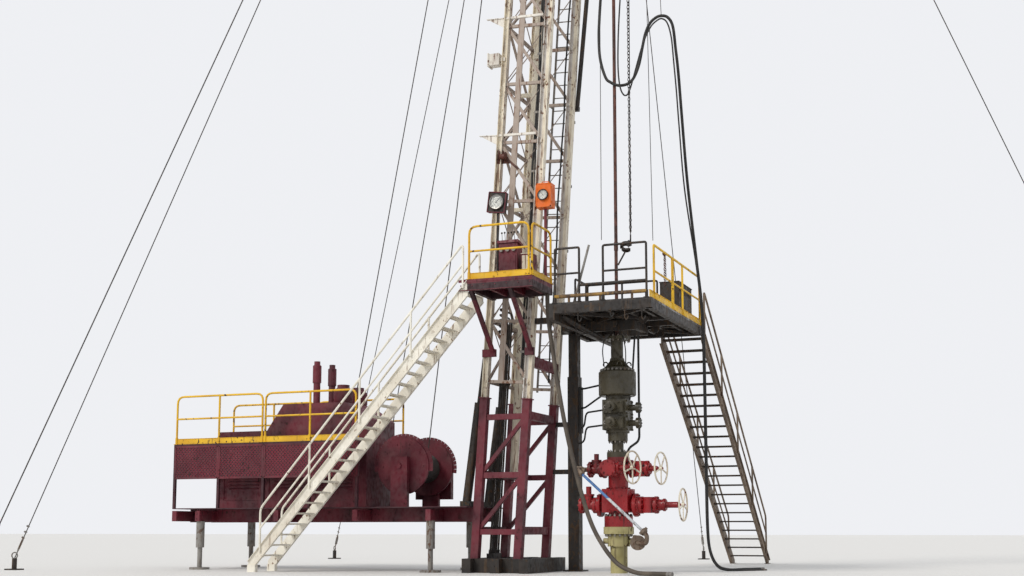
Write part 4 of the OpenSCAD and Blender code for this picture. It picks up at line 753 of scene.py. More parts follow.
# %% [markdown]
# Triangular arms stand out behind the near rear leg and hold the guide wires; a small box and a rusted
# roller bracket sit between them. Greasy hoses run down inside the front leg in clamps.
# %% Mast brackets and hose runs
arms = []
for w in (FIRST_ROW + 4 * BAY + 0.17, FIRST_ROW + 6 * BAY + 0.2):
    base = mast(REAR_U - 0.06, -SIDE_V - 0.01, w)
    arms.append(plate([(0, 0), (0, -0.22), (-0.42, 0)][::-1], 0.014, base, ALONG_U, ALONG_W))
    arms.append(bar(base, mast(REAR_U - 0.5, -SIDE_V - 0.01, w), 0.07, 0.012))
    arms.append(bar(mast(REAR_U - 0.06, -SIDE_V, w), mast(FRONT_U - 0.12, -SIDE_V - 0.05, w), 0.05, 0.05))
BOX_W = 7.5
box_at = mast(REAR_U - 0.12, -SIDE_V, BOX_W)
arms += [block(box_at - [0.24, 0.1, 0.13], box_at + [0.0, 0.1, 0.13]),
         block(box_at - [0.27, 0.12, 0.15], box_at + [-0.24, 0.12, 0.15]),
         bar(box_at, mast(REAR_U, -SIDE_V, BOX_W), 0.08, 0.08)]
piece("mast_arms", arms, "mast_upper")

roller = turned([(0.05, -0.09), (0.1, -0.08), (0.06, -0.05), (0.06, 0.05), (0.1, 0.08), (0.05, 0.09)], 32)
r_at = mast(REAR_U + 0.1, -SIDE_V - 0.08, 5.28)
rusty = [placed(roller, r_at, ALONG_U),
         plate([(-0.18, -0.14), (0.18, -0.14), (0.1, 0.14), (-0.1, 0.14)], 0.012,
               r_at + [0, 0.08, 0], ALONG_U, ALONG_W),
         bar(r_at + [-0.13, 0.08, 0.16], r_at + [0.35, 0.08, -0.3], 0.07, 0.05)]
piece("mast_roller", rusty, "tubing")

# Place in the mast, along its depth and across, and radius
RUNS = [(FRONT_U - 0.14, -0.8, 0.022), (FRONT_U - 0.19, -0.79, 0.026), (FRONT_U - 0.15, 0.78, 0.02)]
w = np.linspace(0.5, 12.0, 60)
runs, clamps = [], []
for k, (u, v, r) in enumerate(RUNS):
    sway = 0.012 * np.sin(w * 1.9 + k) + 0.006 * np.sin(w * 4.3 + 2 * k)
    runs.append(sweep([mast(u + d, v, ww) for d, ww in zip(sway, w)], r, 10))
for i in range(LOWER_ROWS):
    w = FIRST_ROW + (i + 0.5) * BAY
    clamps.append(bar(mast(FRONT_U - 0.23, -0.81, w), mast(FRONT_U - 0.085, -0.81, w), 0.02, 0.05))
piece("mast_hose_runs", runs, "rubber_hose")
piece("mast_hose_clamps", clamps, "grey_steel")

# %% [markdown]
# Hydraulic pipes stand side by side on a manifold on the base beam, inside the mast's foot. They bend
# off to the operator's side one above the other, so that none crosses another, and flat clamps tie them
# to the braces.
# %% Mast hydraulic pipes
BANK_U, BANK_STEP = REAR_U + 0.2, 0.11
BANK_V0, BANK_V1, BANK_OUT = -0.58, 0.02, -0.74
FIRST_TURN, TURN_STEP = 1.45, 0.12
BANK_FOOT = (corners("base_beam")[1][2] - mast(BANK_U, 0, 0)[2]) / ALONG_W[2] + 0.05
bank = [bar(mast(BANK_U, BANK_V0, BANK_FOOT), mast(BANK_U, BANK_V1, BANK_FOOT), 0.1, 0.1)]
for k, r in enumerate((0.024, 0.019, 0.027, 0.019, 0.022)):
    v, w = -0.5 + BANK_STEP * k, FIRST_TURN + TURN_STEP * k
    route = [mast(BANK_U, v, BANK_FOOT), mast(BANK_U, v, w), mast(BANK_U, BANK_OUT, w)]
    bank += [sweep(rounded(route, 0.09), r, 10),
             straight(mast(BANK_U, v, BANK_FOOT + 0.05), mast(BANK_U, v, BANK_FOOT + 0.13), r * 1.7, 6),
             straight(mast(BANK_U, -0.62, w), mast(BANK_U, -0.7, w), r * 1.7, 6)]
CLAMP_W = FIRST_ROW + 0.02
for v in (-0.56, 0.0):
    bank.append(bar(mast(REAR_U, v, CLAMP_W), mast(BANK_U + 0.03, v, CLAMP_W), 0.03, 0.05))
bank.append(bar(mast(BANK_U - 0.045, BANK_V0, CLAMP_W), mast(BANK_U - 0.045, BANK_V1, CLAMP_W), 0.05, 0.03))
print("the bank of pipes starts at", np.round(mast(BANK_U, -0.3, BANK_FOOT), 2))
piece("mast_hydraulic_pipes", bank, "black_steel")

# %% [markdown]
# Flanges are held by studs with a nut at each end. One stud is a thin bar with two six-sided nuts, and
# a circle of them goes round each joint. The shapes are few and small, so hundreds cost little.
# %% Studs on the well stack
def studs(z0, z1, circle, count, size):
    """A ring of studs between two heights, at even steps around the well."""
    nut = hex_nut(size, size * 1.5)
    parts = []
    for a in around(count):
        at = well + [circle * np.cos(a), circle * np.sin(a), 0]
        parts += [placed(nut, at + UP * z1), placed(nut, at + UP * (z0 - size * 1.5)),
                  straight(at + UP * (z0 - size * 2.3), at + UP * (z1 + size * 2.3), size * 0.5, 6)]
    return parts

# Lower and upper height of the flanges, radius of the bolt circle, number of studs, size of a nut
STUD_RINGS = [(0.815, 1.185, 0.275, 16, 0.024), (2.327, 2.535, 0.205, 12, 0.022),
              (2.773, 2.96, 0.185, 12, 0.02), (4.935, 5.0, 0.27, 16, 0.018)]
BAG_BOLTS_R, BAG_BOLTS_Z = 0.345, 4.262
stack = sum([studs(*ring) for ring in STUD_RINGS], [])
cap_bolt = turned([(0.02, 0), (0.026, 0.01), (0.026, 0.04), (0.018, 0.05)], 8)
for a in around(24):
    stack.append(placed(cap_bolt, well + [BAG_BOLTS_R * np.cos(a), BAG_BOLTS_R * np.sin(a), BAG_BOLTS_Z]))
piece("stack_studs", stack, "grey_steel", smooth=30)

# %% [markdown]
# The ram preventer is a forged block with a door on each side. A door is a thick plate ringed with
# bolts; behind it come the cylinder and its head. Lifting eyes, side outlets with blind flanges and
# fittings for the hydraulic lines break up its faces.
# %% Preventer doors and fittings
olive = []
lo, hi = corners("ram_preventer")
ram_lo, ram_top, ram_h = lo[2], hi[2], hi[2] - lo[2]
steel = []
RAM_W = 0.52
RAM_LEVELS = (0.27, 0.7)
DOOR_Y, HEAD_Y, OUTLET_X = RAM_W / 2 + 0.1, RAM_W / 2 + 0.26, RAM_W / 2 + 0.24
for level in RAM_LEVELS:
    z = ram_lo + ram_h * level
    for s in (-1, 1):
        out = np.array([0, s, 0.0])
        for x in (-0.19, -0.12, 0.12, 0.19):
            for d in (-0.1, 0.1):
                olive.append(placed(hex_nut(0.022, 0.02), well + [x, s * DOOR_Y, z + d], out))
        cap = turned([(0.091, 0), (0.105, 0.01), (0.105, 0.045), (0.093, 0.05)], 28)
        olive.append(placed(cap, well + out * HEAD_Y + UP * z, out))
        port = turned([(0.02, 0), (0.042, 0), (0.042, 0.035), (0.03, 0.045), (0.02, 0.04)], 24, closed=True)
        steel.append(placed(port, well + [-0.155, s * DOOR_Y, z], out))
    for a in around(8):
        at = well + [OUTLET_X, 0.09 * np.cos(a), z + 0.09 * np.sin(a)]
        olive.append(placed(hex_nut(0.013, 0.018), at, X))
    for c in (-0.19, 0.19):
        for d in (-0.13, 0.13):
            olive.append(placed(hex_nut(0.024, 0.024), well + [RAM_W / 2, c, z + d], X))
piece("door_ports", steel, "grey_steel")
for a in (0.4, 2.0, 3.6, 5.2):
    eye = sweep([(0.05 * np.cos(t), 0, 0.05 + 0.05 * np.sin(t)) for t in np.linspace(-0.6, np.pi + 0.6, 14)],
                0.014, 8)
    olive.append(placed(eye, well + [0.25 * np.cos(a), 0.25 * np.sin(a), 4.36]))
piece("preventer_fittings", olive, "olive_paint")

# %% [markdown]
# Hydraulic hoses run from a manifold on the floor's leg to the preventers. Each leaves its port level and
# then bends down to the leg. Two more come down from the floor behind the stack.
# %% Control hoses
clo, chi = corners("control_lines")
leg_y = middle("floor_leg")[1]
mx, my = clo[0] + 0.06, leg_y - 0.06
bag_lo = corners("bag_preventer")[0][2]
BAG_R = 0.398
toward = math.atan2(my, mx - well[0])
ray = np.array([math.cos(toward), math.sin(toward), 0])
lines = [block([clo[0], leg_y - 0.1, clo[2]], [clo[0] + 0.06, leg_y + 0.04, chi[2]])]
unions = []
for z, drop in ((bag_lo + 0.33, 0.02), (bag_lo + 0.1, 0.22)):
    end = well + ray * BAG_R + UP * z
    route = [(mx, my, z - drop), (mx + 0.08, my - 0.03, z - drop), end + ray * 0.16, end]
    lines.append(sweep(rounded(route, 0.07), 0.021, 10))
    unions.append(placed(hex_nut(0.034, 0.05), end, ray))
for level in RAM_LEVELS:
    z = ram_lo + ram_h * level
    end = well + [-RAM_W / 2 - 0.05, RAM_W / 2 - 0.06, z]
    route = [(mx, my, z - 0.34), (mx + 0.05, my, z - 0.34), (mx + 0.12, my - 0.06, z), end]
    lines += [block(end - [0.0, 0.04, 0.04], end + [0.05, 0.04, 0.04]),
              sweep(rounded(route, 0.12, 8), 0.02, 10)]
    unions.append(placed(hex_nut(0.032, 0.05), end, -X))
piece("control_hoses", lines, "rubber_hose", replaces=("control_lines",))
piece("hose_unions", unions, "grey_steel", smooth=0)

# Route from the well's foot, bend, radius
DROPS = [([(0.28, 0.47, FLOOR_Z - 0.05), (0.2, 0.47, 4.3), (0.15, 0.47, ram_top + 0.1),
           (0.1, 0.47, ram_lo + ram_h * 0.7 + 0.08)], 0.3, 0.022),
         ([(0.35, 0.42, FLOOR_Z - 0.05), (0.35, 0.42, 2.8), (0.18, 0.14, 2.62), (0.17, 0.13, 2.535)],
          0.12, 0.026)]
drops = [sweep(rounded(well + np.array(route), bend, 8), r, 10) for route, bend, r in DROPS]
for s in (-1, 1):
    route = well + np.array([(s * 0.2, -0.22, 5.02), (s * 0.26, -0.22, 4.7), (s * 0.24, -0.16, 4.36)])
    drops.append(sweep(rounded(route, 0.1), 0.012, 8))
piece("hanging_hoses", drops, "rubber_hose")

# %% [markdown]
# Bonnets and end flanges of the red valves carry rings of bolts, and a yoke stands on each bonnet.
# Each valve has its own axis, so a ring is made once about z and turned to the valve.
# %% Valve bolts and yokes
def bolt_ring(at, out, circle, count=8, size=0.018):
    """Ring of bolt heads about a point, on a face that looks out."""
    head = hex_nut(size, size * 1.4)
    ring = join([(head[0] + [circle * np.cos(a), circle * np.sin(a), 0], head[1]) for a in around(count)])
    return placed(ring, at, out)

LOW_Z, HIGH_Z = 1.42, 2.18
SMALL_R, LARGE_R, PAIR = 0.138, 0.148, 0.06
red = []
# Distance from the well, height and bolt circle of each pair of flanges to the sides
for x, z, r in ((0.48, LOW_Z, LARGE_R), (0.8, LOW_Z, LARGE_R), (0.34, HIGH_Z, SMALL_R),
                (0.61, HIGH_Z, SMALL_R), (-0.48, LOW_Z, SMALL_R), (-0.78, LOW_Z, SMALL_R),
                (-0.34, HIGH_Z, SMALL_R), (-0.58, HIGH_Z, SMALL_R)):
    out = X * np.sign(x)
    red += [bolt_ring(well + [x, 0, z], -out, r), bolt_ring(well + [x, 0, z] + out * PAIR, out, r)]
for y in (-0.34, -0.7):
    red += [bolt_ring(well + [0, y, HIGH_Z], Y, SMALL_R),
            bolt_ring(well + [0, y - PAIR, HIGH_Z], -Y, SMALL_R)]
# Middle of the valve, turn of its stem in degrees, and the stem's length
STEMS = [((0, -0.56, HIGH_Z), -14, 0.54), ((0.5, 0, HIGH_Z), -8, 0.46), ((0.67, 0, LOW_Z), 0, 0.73)]
yoke_cap = turned([(0.02, -0.012), (0.045, -0.012), (0.045, 0.02), (0.03, 0.034), (0.02, 0.034)], 24)
for centre, turn, stem in STEMS:
    out = np.array([math.cos(math.radians(turn)), math.sin(math.radians(turn)), 0])
    across = np.cross(UP, out)
    bonnet, cap = well + centre + out * 0.14, well + centre + out * (stem - 0.09)
    for s in (-1, 1):
        red.append(bar(bonnet + across * s * 0.07, cap + across * s * 0.03, 0.02, 0.045, up=across))
    red.append(placed(yoke_cap, cap, out))
red.append(bolt_ring(well + UP * 1.76, UP, 0.235, 16, 0.022))
wide = turned([(0.12, 0), (0.235, 0), (0.245, 0.01), (0.245, 0.075), (0.19, 0.08), (0.17, 0.12),
               (0.12, 0.125)], 40)
slim = turned([(0.1, 0), (0.185, 0), (0.19, 0.008), (0.19, 0.05), (0.1, 0.055)], 36)
for out in (-X, X):
    red += [placed(wide, well + out * 0.351 + UP * LOW_Z, out),
            bolt_ring(well + out * 0.426 + UP * LOW_Z, out, 0.215, 10, 0.02),
            placed(slim, well + out * 0.27 + UP * HIGH_Z, out)]
red.append(placed(slim, well + [0, -0.27, HIGH_Z], -Y))
piece("valve_bolts", red, "red_paint", smooth=30)

# %% [markdown]
# A rigid line leaves the upper left valve through an elbow, slopes down across the front of the stack, and
# comes back to the casing head's outlet through a plug valve. Hammer unions join its lengths.
# %% Flow line
def union_at(at, ray):
    """Hammer union: a nut with three lugs about the pipe."""
    nut = turned([(0.03, -0.045), (0.075, -0.04), (0.075, 0.03), (0.055, 0.045), (0.03, 0.045)], 20,
                 closed=True)
    lug = block([0.06, -0.018, -0.03], [0.105, 0.018, 0.02])
    lugs = [placed(lug, x=(math.cos(t), math.sin(t), 0)) for t in (0.3, 2.4, 4.5)]
    return placed(join([nut] + lugs), at, ray)

start, stop = well + [-0.62, -0.6, 2.08], well + [0.84, -1.0, 0.86]
slope = (stop - start) / np.linalg.norm(stop - start)
outlet = well + [0.33, 0, 0.67]
upper_bend = [well + [-0.64, 0, 2.18], well + [-0.76, 0, 2.18], well + [-0.74, -0.58, 2.16], start]
lower_bend = [stop, stop + slope * 0.1, well + [0.88, -0.96, 0.62], well + [0.66, -0.9, 0.64],
              well + [0.5, 0.0, 0.67], outlet]
plug_valve = turned([(0.045, -0.09), (0.15, -0.09), (0.15, -0.055), (0.11, -0.05), (0.11, 0.05),
                     (0.15, 0.055), (0.15, 0.09), (0.045, 0.09)], 32, closed=True)
outlet_flange = turned([(0.046, 0), (0.125, 0), (0.125, 0.05), (0.046, 0.05)], 32, closed=True)
elbow = [sweep(rounded(upper_bend, 0.09, 8), 0.05, 16),
         union_at(well + [-0.75, -0.25, 2.17], (0.03, -1, 0)), union_at(start, slope), union_at(stop, slope),
         sweep(rounded(lower_bend, 0.08, 8), 0.045, 14),
         placed(plug_valve, well + [0.66, -0.82, 0.642], (-0.18, 1, 0)), placed(outlet_flange, outlet, X)]
piece("flow_elbows", elbow, "tan_steel")
piece("flow_pipe", [straight(start, stop, 0.029, 16)], "pipe_blue")

# %% [markdown]
# The work floor is seen mostly from below: shallow edge beams round a deck, one deep beam across its
# rear, joists between, stiffeners in the channels, and the brackets and hooks that have been hung there.
# %% Floor framing
dlo, dhi = corners("floor_deck")
MAIN_Z0, EDGE_Z0 = corners("floor_frame")[0][2], FLOOR_Z - 0.2
near_x0, far_x0, fx1, fy = well[0] - 0.79, dlo[0], dhi[0], dhi[1]
NOTCH_Y = 0.3
RIB, RIB_REACH, RIB_TOP, FLANGE, SKIN = 0.006, 0.085, FLOOR_Z - 0.045, 0.062, 0.012
dark = []
for y, x0 in ((-fy + 0.06, near_x0), (fy - 0.06, far_x0)):
    inner = y - np.sign(y) * RIB_REACH
    for x in np.linspace(x0 + 0.25, fx1 - 0.25, 7):
        dark.append(block([x - RIB, min(y, inner), EDGE_Z0 + SKIN], [x + RIB, max(y, inner), RIB_TOP]))
    dark.append(block([x0, y - FLANGE, EDGE_Z0 - SKIN], [fx1, y + FLANGE, EDGE_Z0]))
for x, y0, z0 in ((far_x0 + 0.06, NOTCH_Y, EDGE_Z0), (fx1 - 0.06, -fy, EDGE_Z0),
                  (near_x0 + 0.06, -fy, MAIN_Z0)):
    inner = x - RIB_REACH if x > well[0] else x + RIB_REACH
    for y in np.linspace(y0 + 0.3, fy - 0.3, 8):
        dark.append(block([min(x, inner), y - RIB, z0 + SKIN], [max(x, inner), y + RIB, RIB_TOP]))
    dark.append(block([x - FLANGE, y0, z0 - SKIN], [x + FLANGE, fy, z0]))
for x in np.linspace(near_x0 + 0.4, fx1 - 0.35, 5):
    for y0, y1 in ((-fy + 0.12, -0.46), (0.46, fy - 0.12)):
        dark.append(block([x - 0.035, y0, FLOOR_Z - 0.15], [x + 0.035, y1, FLOOR_Z - 0.04]))
BRACE_Z, HOLE = EDGE_Z0 + 0.03, 0.5
for s in (-1, 1):
    for outer, inner in ((near_x0 + 0.12, fx1 - HOLE), (fx1 - 0.12, near_x0 + HOLE)):
        dark.append(bar([outer, s * (fy - 0.15), BRACE_Z], [inner, s * HOLE, BRACE_Z], 0.07, 0.06))
for x, drop in ((near_x0 + 0.62, 0.16), (near_x0 + 1.3, 0.1), (fx1 - 0.55, 0.18), (fx1 - 0.2, 0.2)):
    hook = [(0, 0, 0), (0, 0, -drop), (0.03, 0, -drop - 0.05), (0.07, 0, -drop), (0.07, 0, -drop + 0.03)]
    dark.append(placed(sweep(rounded(hook, 0.015), 0.012, 8), (x, -fy + 0.02, EDGE_Z0)))
ear = [(-0.09, 0), (0.09, 0), (0.09, -0.07), (0.04, -0.13), (-0.04, -0.13), (-0.09, -0.07)]
for x, y in ((near_x0 + 0.9, -0.6), (near_x0 + 1.5, 0.5), (fx1 - 0.5, -0.9), (fx1 - 0.7, 1.1)):
    dark.append(plate(ear[::-1], 0.02, (x, y, EDGE_Z0 - 0.001), X, UP))
for s in (-1, 1):
    x, y = well[0] + s * 0.5, s * 0.45
    dark += [block([well[0] - 0.55, y - 0.05, FLOOR_Z - 0.38], [well[0] + 0.55, y + 0.05, FLOOR_Z - 0.16]),
             block([x - 0.05, -0.4, FLOOR_Z - 0.34], [x + 0.05, 0.4, FLOOR_Z - 0.16])]
knee = [(near_x0 + 0.1, -1.6, EDGE_Z0 + 0.02), (near_x0 + 0.35, -1.1, 5.1), (well[0] - 0.22, -0.36, 4.93),
        (well[0] - 0.12, -0.3, 5.02)]
drip = [(near_x0 + 0.3, -1.3, EDGE_Z0), (near_x0 + 0.32, -1.3, 4.9), (near_x0 + 0.55, -1.0, 4.98)]
dark += [sweep(rounded(knee, 0.08), 0.06, 10), sweep(rounded(drip, 0.04), 0.012, 8)]
collar = turned([(0.29, 0), (0.31, 0.0), (0.31, 0.06), (0.29, 0.06)], 48, closed=True)
dark.append(placed(collar, well + UP * (FLOOR_Z - 0.03)))
piece("floor_stiffeners", dark, "black_steel", smooth=30)

# %% [markdown]
# The deck wears a raised lozenge pattern. Each lozenge would be a few millimetres high, so it is a bump
# from two crossed waves on Object coordinates and not a mesh. Mud and grease lie over it.
# %% Chequered plate
def chequered(name, coat, worn):
    s = Shader(name)
    bumps = []
    for turn in (45, -45):
        moved = s.node("Mapping", {"Rotation": (0, 0, math.radians(turn)), "Vector": s.place})
        bumps.append(s.node("TexWave", {"Scale": 8.0, "Vector": moved.outputs["Vector"]}).outputs["Fac"])
    height = s.ramp(s.times(*bumps), 0.55, 0.75)
    mud = s.ramp(s.noise(2.2, detail=6.0), 0.42, 0.68, 0.8)
    colour = s.over(height, srgb(coat), srgb(worn))
    colour = s.over(mud, colour, srgb("4a3c30"))
    return s.finish(colour, s.ramp(s.noise(5.0), 0.3, 0.7, 0.8), height, 0.003)

nodes["floor_deck"].data.materials.clear()
nodes["floor_deck"].data.materials.append(chequered("deck_plate", "2c2826", "6a625a"))

# %% [markdown]
# The operator stands on a grating between maroon beams. The controls are a desk with a row of levers;
# beside it is a pale cabinet with a door, a handle and louvres.
# %% Platform grating and console
lo, hi = corners("operator_platform")
px0, px1, py0, py1 = lo[0], hi[0], lo[1], corners("operator_rail")[1][1]
bars = []
for x in np.arange(px0 + 0.03, px1, 0.04):
    bars.append(block([x, py0 + 0.03, PLAT_Z], [x + 0.005, py1 - 0.01, PLAT_Z + 0.012]))
for y in np.arange(py0 + 0.05, py1, 0.1):
    bars.append(block([px0 + 0.02, y, PLAT_Z + 0.004], [px1 - 0.02, y + 0.008, PLAT_Z + 0.012]))
piece("platform_grating", bars, "black_steel", smooth=0)

maroon = [block([px0 - 0.004, py0 - 0.006, PLAT_Z - 0.06], [px1 + 0.004, py0 + 0.004, PLAT_Z - 0.005]),
          block([px0 - 0.004, py0 - 0.012, PLAT_Z - 0.235], [px1 + 0.004, py0 + 0.03, PLAT_Z - 0.222])]
for x in np.linspace(px0 + 0.2, px1 - 0.2, 4):
    maroon.append(block([x - 0.03, py0 + 0.1, PLAT_Z - 0.2], [x + 0.03, py1 - 0.05, PLAT_Z - 0.06]))
for x in np.linspace(px0 + 0.05, px1 - 0.05, 7):
    maroon.append(placed(hex_nut(0.014, 0.012), (x, py0, PLAT_Z - 0.13), -Y))
desk_x0, desk_x1 = 0.21, 0.63
desk_y = corners("control_console")[0][1]
maroon.append(block([desk_x0 + 0.03, desk_y + 0.012, PLAT_Z + 0.08],
                    [desk_x1 - 0.03, desk_y + 0.024, PLAT_Z + 0.62]))
piece("platform_trim", maroon, "maroon_paint", smooth=30)

levers, knobs = [], []
for i, x in enumerate(np.linspace(desk_x0 + 0.03, desk_x1 - 0.03, 6)):
    foot = np.array([x, desk_y + 0.16, PLAT_Z + 0.93])
    tip = foot + [0.0, -0.03 - 0.02 * math.sin(i * 2.1), 0.2]
    levers += [straight(foot, tip, 0.007, 8),
               placed(turned([(0.02, 0), (0.022, 0.01), (0.014, 0.03)], 16), foot)]
    knobs.append(placed(turned([(0.006, -0.02), (0.018, -0.008), (0.021, 0.006), (0.014, 0.02)], 16), tip))
for x in (0.28, 0.42, 0.56):
    levers.append(placed(turned([(0.04, 0), (0.045, 0.004), (0.045, 0.02), (0.038, 0.02)], 32),
                         (x, desk_y + 0.005, PLAT_Z + 0.74), -Y))
piece("console_levers", levers, "grey_steel")
piece("console_knobs", knobs, "black_steel")

cx0, cx1 = 0.73, 0.97
cy, ctop = desk_y + 0.03, PLAT_Z + 0.62
LOUVRES, LOUVRE_STEP = 5, 0.035
cab = [block([cx0 + 0.015, cy - 0.014, PLAT_Z + 0.03], [cx1 - 0.015, cy, ctop - 0.03]),
       block([cx0 - 0.01, cy - 0.02, ctop], [cx1 + 0.01, cy + 0.3, ctop + 0.015])]
for k in range(LOUVRES):
    z = PLAT_Z + 0.12 + LOUVRE_STEP * k
    cab.append(bar((cx0 + 0.05, cy - 0.02, z), (cx1 - 0.05, cy - 0.02, z), 0.014, 0.008))
handle = np.array([cx1 - 0.05, cy - 0.035, PLAT_Z + 0.36])
cab.append(straight(handle, handle + UP * 0.1, 0.008, 8))
piece("console_cabinet_door", cab, "cream_paint", smooth=30)

# %% [markdown]
# A gauge is a box with a round glass. Ring, dial, ticks, hand and glass are each turned or laid on the
# dial's own plane. The ticks are bare strokes at even steps, heavier at each fifth.
# %% Gauges
def plain(name, colour, rough, variation, metal=0.0):
    """A quiet finish: one colour with a faint cloud of another."""
    s = Shader(name)
    cloud = s.noise(9.0, detail=5.0)
    return s.finish(s.over(s.ramp(cloud, 0.4, 0.8, 0.25), srgb(colour), srgb(variation)), rough, cloud,
                    0.0004, metal)

for name, look in {"dial_white": ("f4f2ea", 0.45, "d6d1c4"), "dial_black": ("141414", 0.5, "2a2622"),
                   "bezel_steel": ("9a9894", 0.3, "5a5650", 1.0)}.items():
    finishes[name] = plain(name, *look)
glass = Shader("gauge_glass")
smear = glass.node("TexNoise", {"Scale": 12.0, "Vector": glass.place}).outputs["Fac"]
tint = glass.over(smear, (0.92, 0.95, 0.96, 1), (1, 1, 1, 1))
for socket, value in (("Transmission Weight", 1.0), ("IOR", 1.3)):
    glass.put(glass.surface.inputs[socket], value)
finishes["gauge_glass"] = glass.finish(tint, 0.04)

def dial_plane(tilt):
    """Right and up of a dial that is turned a little in its own plane."""
    return np.array([math.cos(tilt), 0, -math.sin(tilt)]), np.array([math.sin(tilt), 0, math.cos(tilt)])

TICKS = 41

def gauge_face(name, centre, radius, hand_angle, tilt, rim):
    """Ring, dial, ticks, hand and glass about a point, looking towards -y."""
    out, c = -Y, np.asarray(centre, float)
    right, up = dial_plane(tilt)

    def lathe(profile, sides, closed=False):
        """Turned about the dial's axis: each radius is a share of the dial's."""
        return placed(turned([(radius * share, h) for share, h in profile], sides, closed=closed), c, out)

    def stroke(angle, start, stop, lift, width, thick):
        """Flat bar on the dial, along a ray: start, stop and width are shares of the radius."""
        ray = right * math.cos(angle) + up * math.sin(angle)
        ends = [c + ray * radius * share + out * lift for share in (start, stop)]
        return bar(*ends, radius * width, thick, up=out)

    ring = lathe([(0.9, 0), (1.08, 0), (1.1, 0.018), (1.02, 0.032), (0.92, 0.03), (0.9, 0.01)], 56,
                 closed=True)
    dial, pane = lathe([(0.95, 0.0), (0.95, 0.006)], 56), lathe([(0.9, 0.022), (0.9, 0.025)], 48)
    marks = []
    for k in range(TICKS):
        start, width = (0.77, 0.014) if k % 5 else (0.68, 0.03)
        marks.append(stroke(math.radians(225 - k * 270 / (TICKS - 1)), start, 0.86, 0.007, width, 0.001))
    marks += [stroke(hand_angle, -0.2, 0.74, 0.012, 0.045, 0.002), lathe([(0.08, 0.008), (0.07, 0.018)], 20)]
    piece(name + "_ring", [ring], rim)
    piece(name + "_dial", [dial], "dial_white", smooth=0)
    piece(name + "_marks", marks, "dial_black", smooth=0)
    piece(name + "_glass", [pane], "gauge_glass", smooth=0)

WEIGHT_TILT = math.radians(7)
WEIGHT = np.array([0.07, corners("weight_gauge")[0][1] - 0.001, PLAT_Z + 1.85])
gauge_face("weight_gauge", WEIGHT, 0.15, math.radians(52), WEIGHT_TILT, "bezel_steel")
plo, phi = corners("pressure_gauge")
PRESSURE = np.array([(plo[0] + phi[0]) / 2, plo[1] - 0.001, PLAT_Z + 1.91])
gauge_face("pressure_gauge", PRESSURE, 0.11, math.radians(130), 0.0, "dial_black")

housing = border((-0.2, -0.22), (0.2, 0.22), WEIGHT + Y * 0.019, 0.016, 0.03, *dial_plane(WEIGHT_TILT))
piece("weight_gauge_frame", housing, "maroon_paint", smooth=0)
gx0, gx1, gy, gz = plo[0], phi[0], plo[1] + 0.022, PRESSURE[2]
orange = [block([gx0, gy - 0.008, gz + z], [gx1, gy, gz + z + 0.025]) for z in (-0.26, 0.235)]
orange += [block([x, gy - 0.008, gz - 0.26], [x + 0.025, gy, gz + 0.26]) for x in (gx0, gx1 - 0.025)]
for z in (-0.17, 0.15):
    hinge = np.array([gx1 + 0.006, gy + 0.02, gz + z])
    orange.append(straight(hinge - UP * 0.03, hinge + UP * 0.03, 0.01, 8))
handle = rounded([(gx0 + 0.09, gy + 0.13, gz + 0.26), (gx0 + 0.09, gy + 0.13, gz + 0.32),
                  (gx1 - 0.09, gy + 0.13, gz + 0.32), (gx1 - 0.09, gy + 0.13, gz + 0.26)], 0.025)
orange.append(sweep(handle, 0.008, 8))
piece("pressure_gauge_trim", orange, "orange_paint", smooth=30)

# %% [markdown]
# The carrier's walkway has guard panels of expanded metal in angle frames, and the hood has louvres,
# hinges, doors and a pair of exhaust stacks. Diamonds of expanded metal are crossed bars.
# %% Walkway panels
lo, hi = corners("carrier_deck")
wx0, wy = lo[0], hi[1]
lattice, panels = [], []
PANEL_W, PANEL_STEP, PANEL_H, MESH = 1.16, 1.21, 0.73, 0.085
for s in (-1, 1):
    for i in range(4):
        foot = np.array([wx0 + 0.05 + i * PANEL_STEP, s * (wy + 0.004), WALK_Z - 0.79])
        panels += border((0, 0), (PANEL_W, PANEL_H), foot, 0.045, 0.014)
        for d in np.arange(-0.7, PANEL_W, MESH):
            ends = [(a, a - d) for a in (max(d, 0.0), min(d + PANEL_H, PANEL_W))]
            if ends[1][0] - ends[0][0] > 0.03:
                for mirrored in (False, True):
                    p, q = (foot + X * (PANEL_W - a if mirrored else a) + UP * b for a, b in ends)
                    lattice.append(bar(p, q, 0.012, 0.006, up=Y))
piece("walkway_lattice", lattice, "mesh_maroon", smooth=0)
piece("walkway_panel_frames", panels, "maroon_paint", smooth=0)

hood = []
hlo, hhi = corners("engine_hood")
DOORS, DOOR_STEP, LOUVRES, LOUVRE_STEP = 3, 1.22, 12, 0.075
EXHAUST = turned([(0.08, 0), (0.08, 0.5), (0.1, 0.5), (0.1, 0.9), (0.07, 0.92), (0.07, 1.0)], 28)
AIR_INTAKE = turned([(0.2, 0), (0.22, 0.03), (0.22, 0.3), (0.14, 0.36), (0.14, 0.42)], 32)
for s in (-1, 1):
    for i in range(DOORS):
        foot = np.array([hlo[0] + 0.15 + i * DOOR_STEP, s * (hhi[1] + 0.006), hlo[2]])
        hood += border((0, 0.2), (1.1, 1.55), foot, 0.03, 0.014)
        for k in range(LOUVRES):
            louvre = foot + UP * (0.45 + k * LOUVRE_STEP)
            hood.append(bar(louvre + X * 0.15, louvre + X * 0.95, 0.03, 0.02, up=(0, 1, 0.6)))
        handle = foot + [0.98, s * 0.02, 0.8]
        hood.append(straight(handle, handle + UP * 0.15, 0.01, 8))
for y in (-0.35, 0.35):
    hood += [placed(EXHAUST, (hlo[0] + 2.4, y, hhi[2])), placed(AIR_INTAKE, (hlo[0] + 3.1, y, hhi[2]))]
